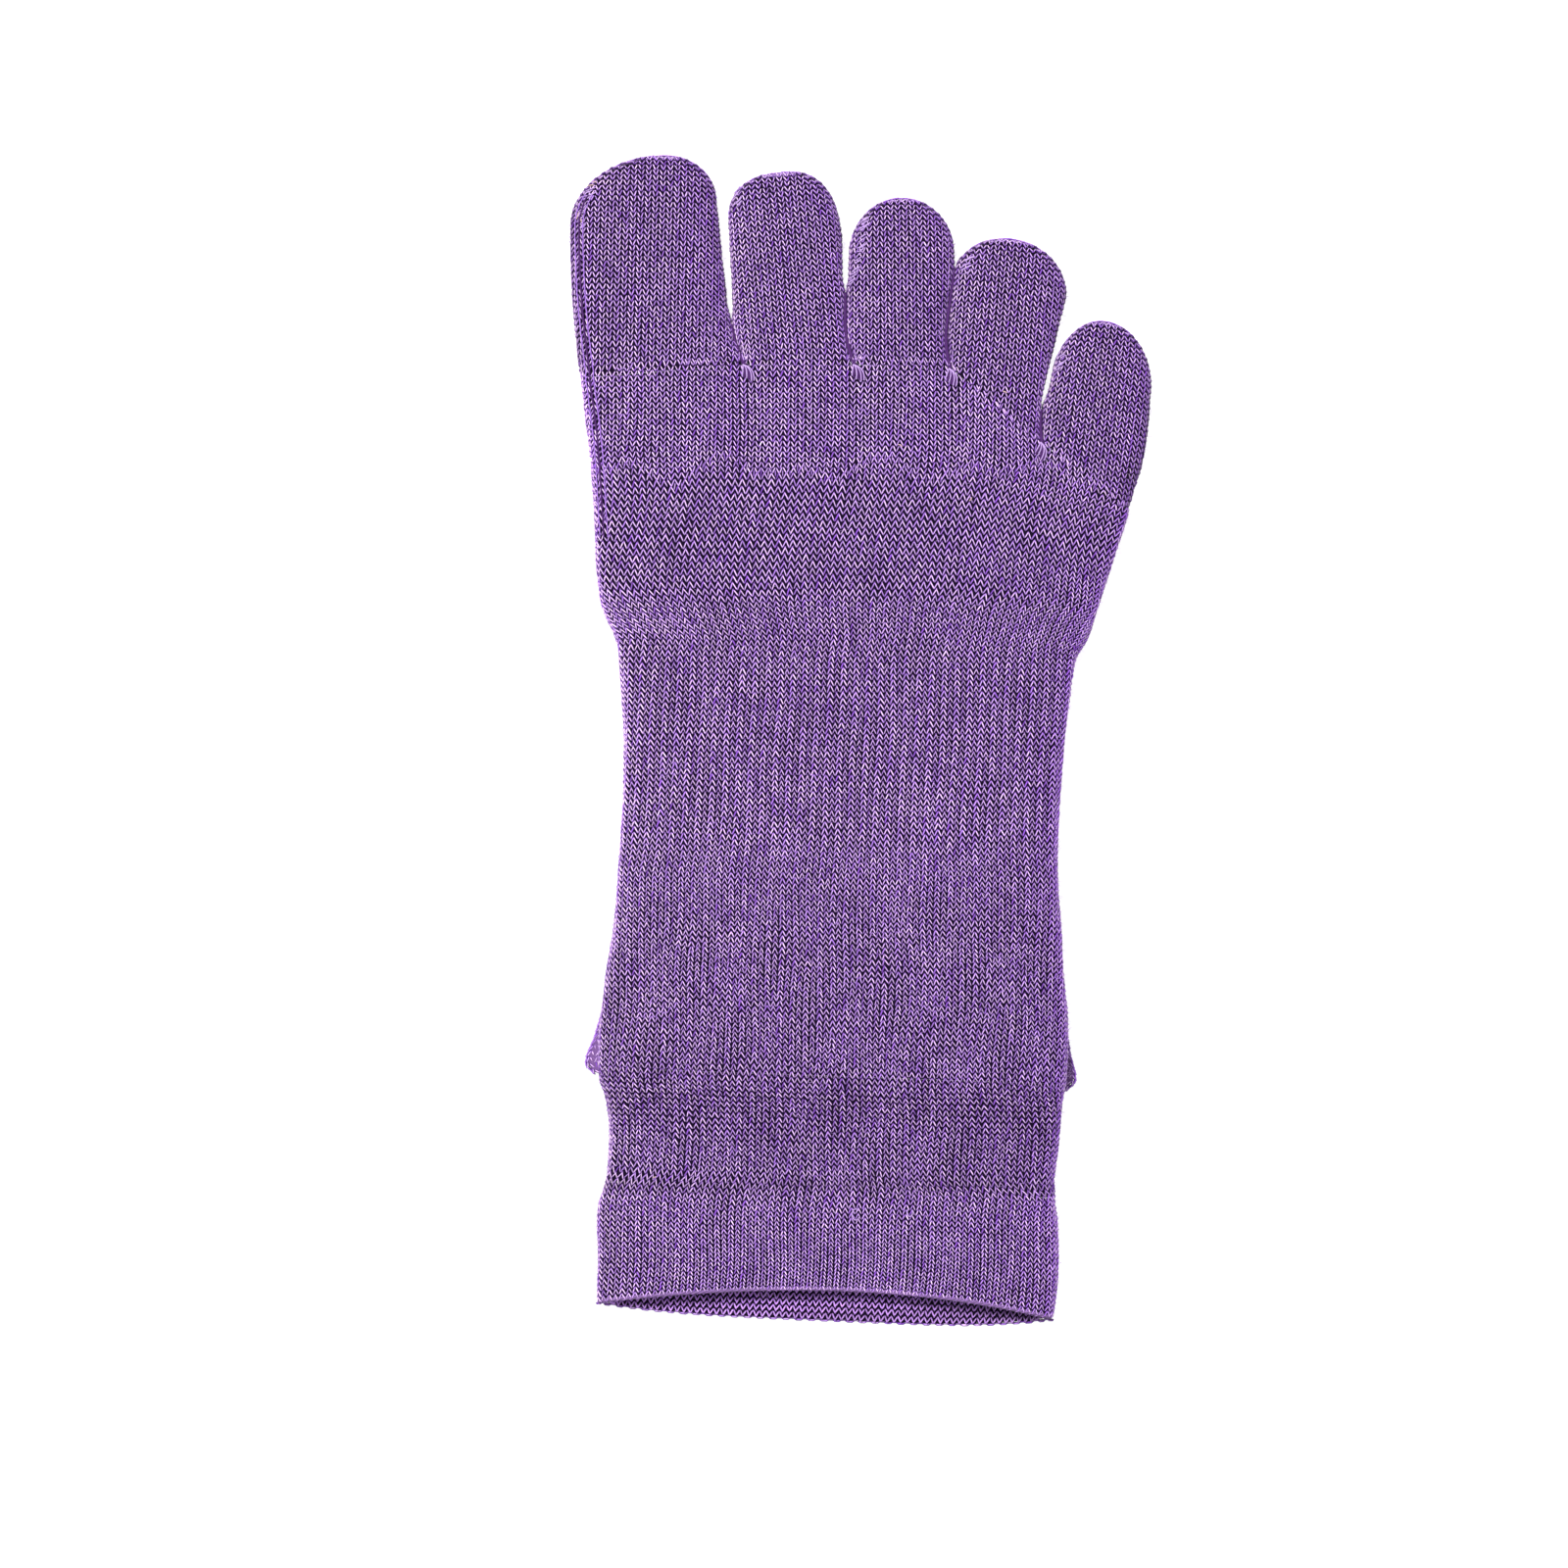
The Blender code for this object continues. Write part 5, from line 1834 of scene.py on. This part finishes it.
def loop_lines(rng):
    """Loose open loops on the cuff."""
    loops = []
    for pixel, radius in LOOPS:
        centre = photo_spot(pixel)
        turn = np.linspace(0.2, 1.75 * math.pi, 14) + rng.uniform(0.0, 3.0)
        ring = centre + np.stack([np.cos(turn) * radius, np.sin(turn) * radius * 1.4], axis=1)
        loops.append((laid(ring, 0.00016), tapered(14, 0.6)))
    return loops


def fleck_lines(rng):
    """Short beige fibres in the knit."""
    flecks = []
    for pixel, length in FLECKS:
        centre = photo_spot(pixel)
        turn = rng.uniform(0.0, 3.0)
        half = 0.5 * length * np.array((math.cos(turn), math.sin(turn)))
        shape = bow(centre - half, centre + rng.normal(0.0, 0.0002, 2), centre + half, 6)
        flecks.append((laid(shape, 0.00012), tapered(6)))
    return flecks


def fuzz_roots(rng, count):
    """Roots of loose fibres: a third of them along the outline, the rest over the top."""
    roots = []
    for _ in range(count):
        y = rng.uniform(MOUTH_LINE + 0.001, FOOT_LENGTH + 0.030)
        place = rng.uniform(-0.97, 0.97) if rng.uniform() > 0.4 else rng.choice((-0.998, 0.998))
        left, right = (float(v) for v in body(min(y, FOOT_LENGTH))[:2])
        x = mix(left, right, 0.5 * (place + 1.0))
        if y > float(toe_line(line_place(x))):
            toe = TOE_SHAPES[rng.integers(len(TOE_SHAPES))]
            along = rng.uniform(0.1, 0.985) * toe.length
            point = toe.top(np.array([place]), np.array([along]))[0]
            outward = np.array((*(toe.aside * np.sign(place) * abs(place) ** 6), 1.0 - abs(place) ** 6))
            outward[:2] += toe.ahead * (along / toe.length) ** 8
        else:
            point = body_top(np.array([place]), np.array([y]))[0]
            outward = np.array((np.sign(place) * abs(place) ** 6, 0.0, 1.0 - abs(place) ** 6))
        roots.append((point, outward))
    return roots


def fuzz_lines(rng):
    """Loose fibres that lean out of the cloth and curl."""
    fuzz = []
    for place, outward in fuzz_roots(rng, FUZZ_COUNT):
        lean = unit(outward * rng.uniform(0.3, 1.0) + rng.normal(0.0, 0.8, 3))
        lean[2] = abs(lean[2]) * 0.8
        curl = rng.normal(0.0, 0.5, 3)
        length = rng.uniform(0.0006, 0.0019)
        t = np.linspace(0.0, 1.0, 4)[:, None]
        line = place + lean * length * t + curl * length * 0.45 * t * t
        line[:, 2] = np.maximum(line[:, 2], 0.0001)
        fuzz.append((line, (1.0, 0.9, 0.7, 0.4)))
    return fuzz


class DetailsOperator(bpy.types.Operator):
    """Adds cords of painted shade in the creases and tuft gaps between the toes, and what the knitting leaves:
    tufts, toe seams, loops, flecks and fuzz
    """

    bl_idname = "sock.add_details"
    bl_label = "Tufts, seams, loops and fuzz"

    def execute(self, context):
        rng = fresh(50)
        c = colours()
        pale = material_named("tuft_yarn", plain_cloth, tuple(c.tuft), 0.7, 0.00008)
        # Dark cloth of painted shade for the creases, the tuft gaps and the big toe's groove
        dark = material_named("crease_shade_cloth", plain_cloth, tuple(c.crease), 0.9, 0.00008)
        rope = material_named("rope_yarn", plain_cloth, blended(c.strand, c.tuft, 0.35), 0.7, 0.00008)
        beige = material_named("fleck_fibre", plain_cloth, tuple(c.fleck), 0.7, 0.00004)
        creases, gaps, tufts = crotch_lines(rng)
        strung("toe_crease_shade", creases, 0.00045, 6, dark, "yarn")
        strung("tuft_gap_shade", gaps, 0.00024, 6, dark, "yarn")
        strung("crotch_tufts", tufts, 0.00012, 6, pale, "yarn")
        grooves, ropes = side_lines(rng)
        strung("big_toe_groove_shade", grooves, 0.00018, 6, dark, "yarn")
        strung("big_toe_side_ropes", ropes, 0.00011, 6, rope, "yarn")
        strung("toe_tip_seams", seam_lines(rng), 0.00011, 6, pale, "yarn")
        strung("cuff_loops", loop_lines(rng), 0.00011, 6, pale, "cuff_yarn")
        strung("beige_flecks", fleck_lines(rng), 0.00012, 5, beige, "yarn")
        strung("fuzz", fuzz_lines(rng), 0.000028, 3, pale, "yarn")
        return {"FINISHED"}


class StageOperator(bpy.types.Operator):
    """Makes the pale floor, the soft studio light and the camera straight above"""

    bl_idname = "sock.make_stage"
    bl_label = "Floor, light and camera"

    def execute(self, context):
        bpy.ops.mesh.primitive_plane_add(size=6.0, location=(0.0, 0.0, 0.0))
        floor = bpy.context.object
        floor.name = "floor"
        material = bpy.data.materials.new("pale_floor")
        material.use_nodes = True
        shader = material.node_tree.nodes["Principled BSDF"]
        shader.inputs["Base Color"].default_value = (FLOOR_GREY, FLOOR_GREY, FLOOR_GREY, 1.0)
        shader.inputs["Roughness"].default_value = 0.9
        shader.inputs["Specular IOR Level"].default_value = 0.1
        shader.inputs["Emission Color"].default_value = (1.0, 1.0, 1.0, 1.0)
        shader.inputs["Emission Strength"].default_value = FLOOR_GLOW
        floor.data.materials.append(material)
        floor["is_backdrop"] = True
        for name, place, energy, size in LAMPS:
            light = bpy.data.lights.new(name, "AREA")
            light.energy = energy
            light.size = size
            lamp = bpy.data.objects.new(name, light)
            lamp.location = place
            lamp.rotation_euler = (-Vector(place)).to_track_quat("-Z", "Y").to_euler()
            bpy.context.scene.collection.objects.link(lamp)
        world = bpy.context.scene.world or bpy.data.worlds.new("studio")
        bpy.context.scene.world = world
        world.use_nodes = True
        sky = world.node_tree.nodes["Background"]
        sky.inputs["Color"].default_value = (1.0, 1.0, 1.0, 1.0)
        sky.inputs["Strength"].default_value = SKY_STRENGTH
        camera = bpy.data.cameras.new("camera")
        camera.lens = LENS
        camera.sensor_width = SENSOR
        camera.clip_end = 20.0
        eye = bpy.data.objects.new("camera", camera)
        eye.location = (*PHOTO_MIDDLE, OUTLINE_HEIGHT + PHOTO_WIDTH * LENS / SENSOR)
        bpy.context.scene.collection.objects.link(eye)
        bpy.context.scene.camera = eye
        bpy.context.scene.view_settings.view_transform = "Standard"
        return {"FINISHED"}


class SockPanel(bpy.types.Panel):
    """Lists the steps that make the sock"""

    bl_idname = "VIEW3D_PT_toe_sock"
    bl_label = "Toe sock"
    bl_space_type = "VIEW_3D"
    bl_region_type = "UI"
    bl_category = "Toe sock"

    def draw(self, context):
        for step in STEPS:
            self.layout.operator(step.bl_idname)
        for group in (context.scene.sock_sizes, context.scene.sock_colours):
            for key in group.__annotations__:
                self.layout.prop(group, key)


STEPS = (
    ShellsOperator,
    BodyKnitOperator,
    ToesOperator,
    UndersideOperator,
    HeelOperator,
    MouthOperator,
    DetailsOperator,
    StageOperator,
)
CLASSES = (SockSizes, SockColours, *STEPS, SockPanel)


def register():
    for made in CLASSES:
        bpy.utils.register_class(made)
    bpy.types.Scene.sock_sizes = bpy.props.PointerProperty(type=SockSizes)
    bpy.types.Scene.sock_colours = bpy.props.PointerProperty(type=SockColours)


def unregister():
    del bpy.types.Scene.sock_colours
    del bpy.types.Scene.sock_sizes
    for made in reversed(CLASSES):
        bpy.utils.unregister_class(made)


def corners():
    low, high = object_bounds()
    return [list(low), list(high)]


def main():
    register()
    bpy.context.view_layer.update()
    bpy.ops.sock.make_ground()
    bpy.ops.sock.knit_body()
    bpy.ops.sock.knit_toes()
    bpy.ops.sock.knit_underside()
    bpy.ops.sock.knit_heel()
    bpy.ops.sock.make_mouth()
    bpy.ops.sock.add_details()
    bpy.ops.sock.make_stage()


if __name__ == "__main__":
    main()
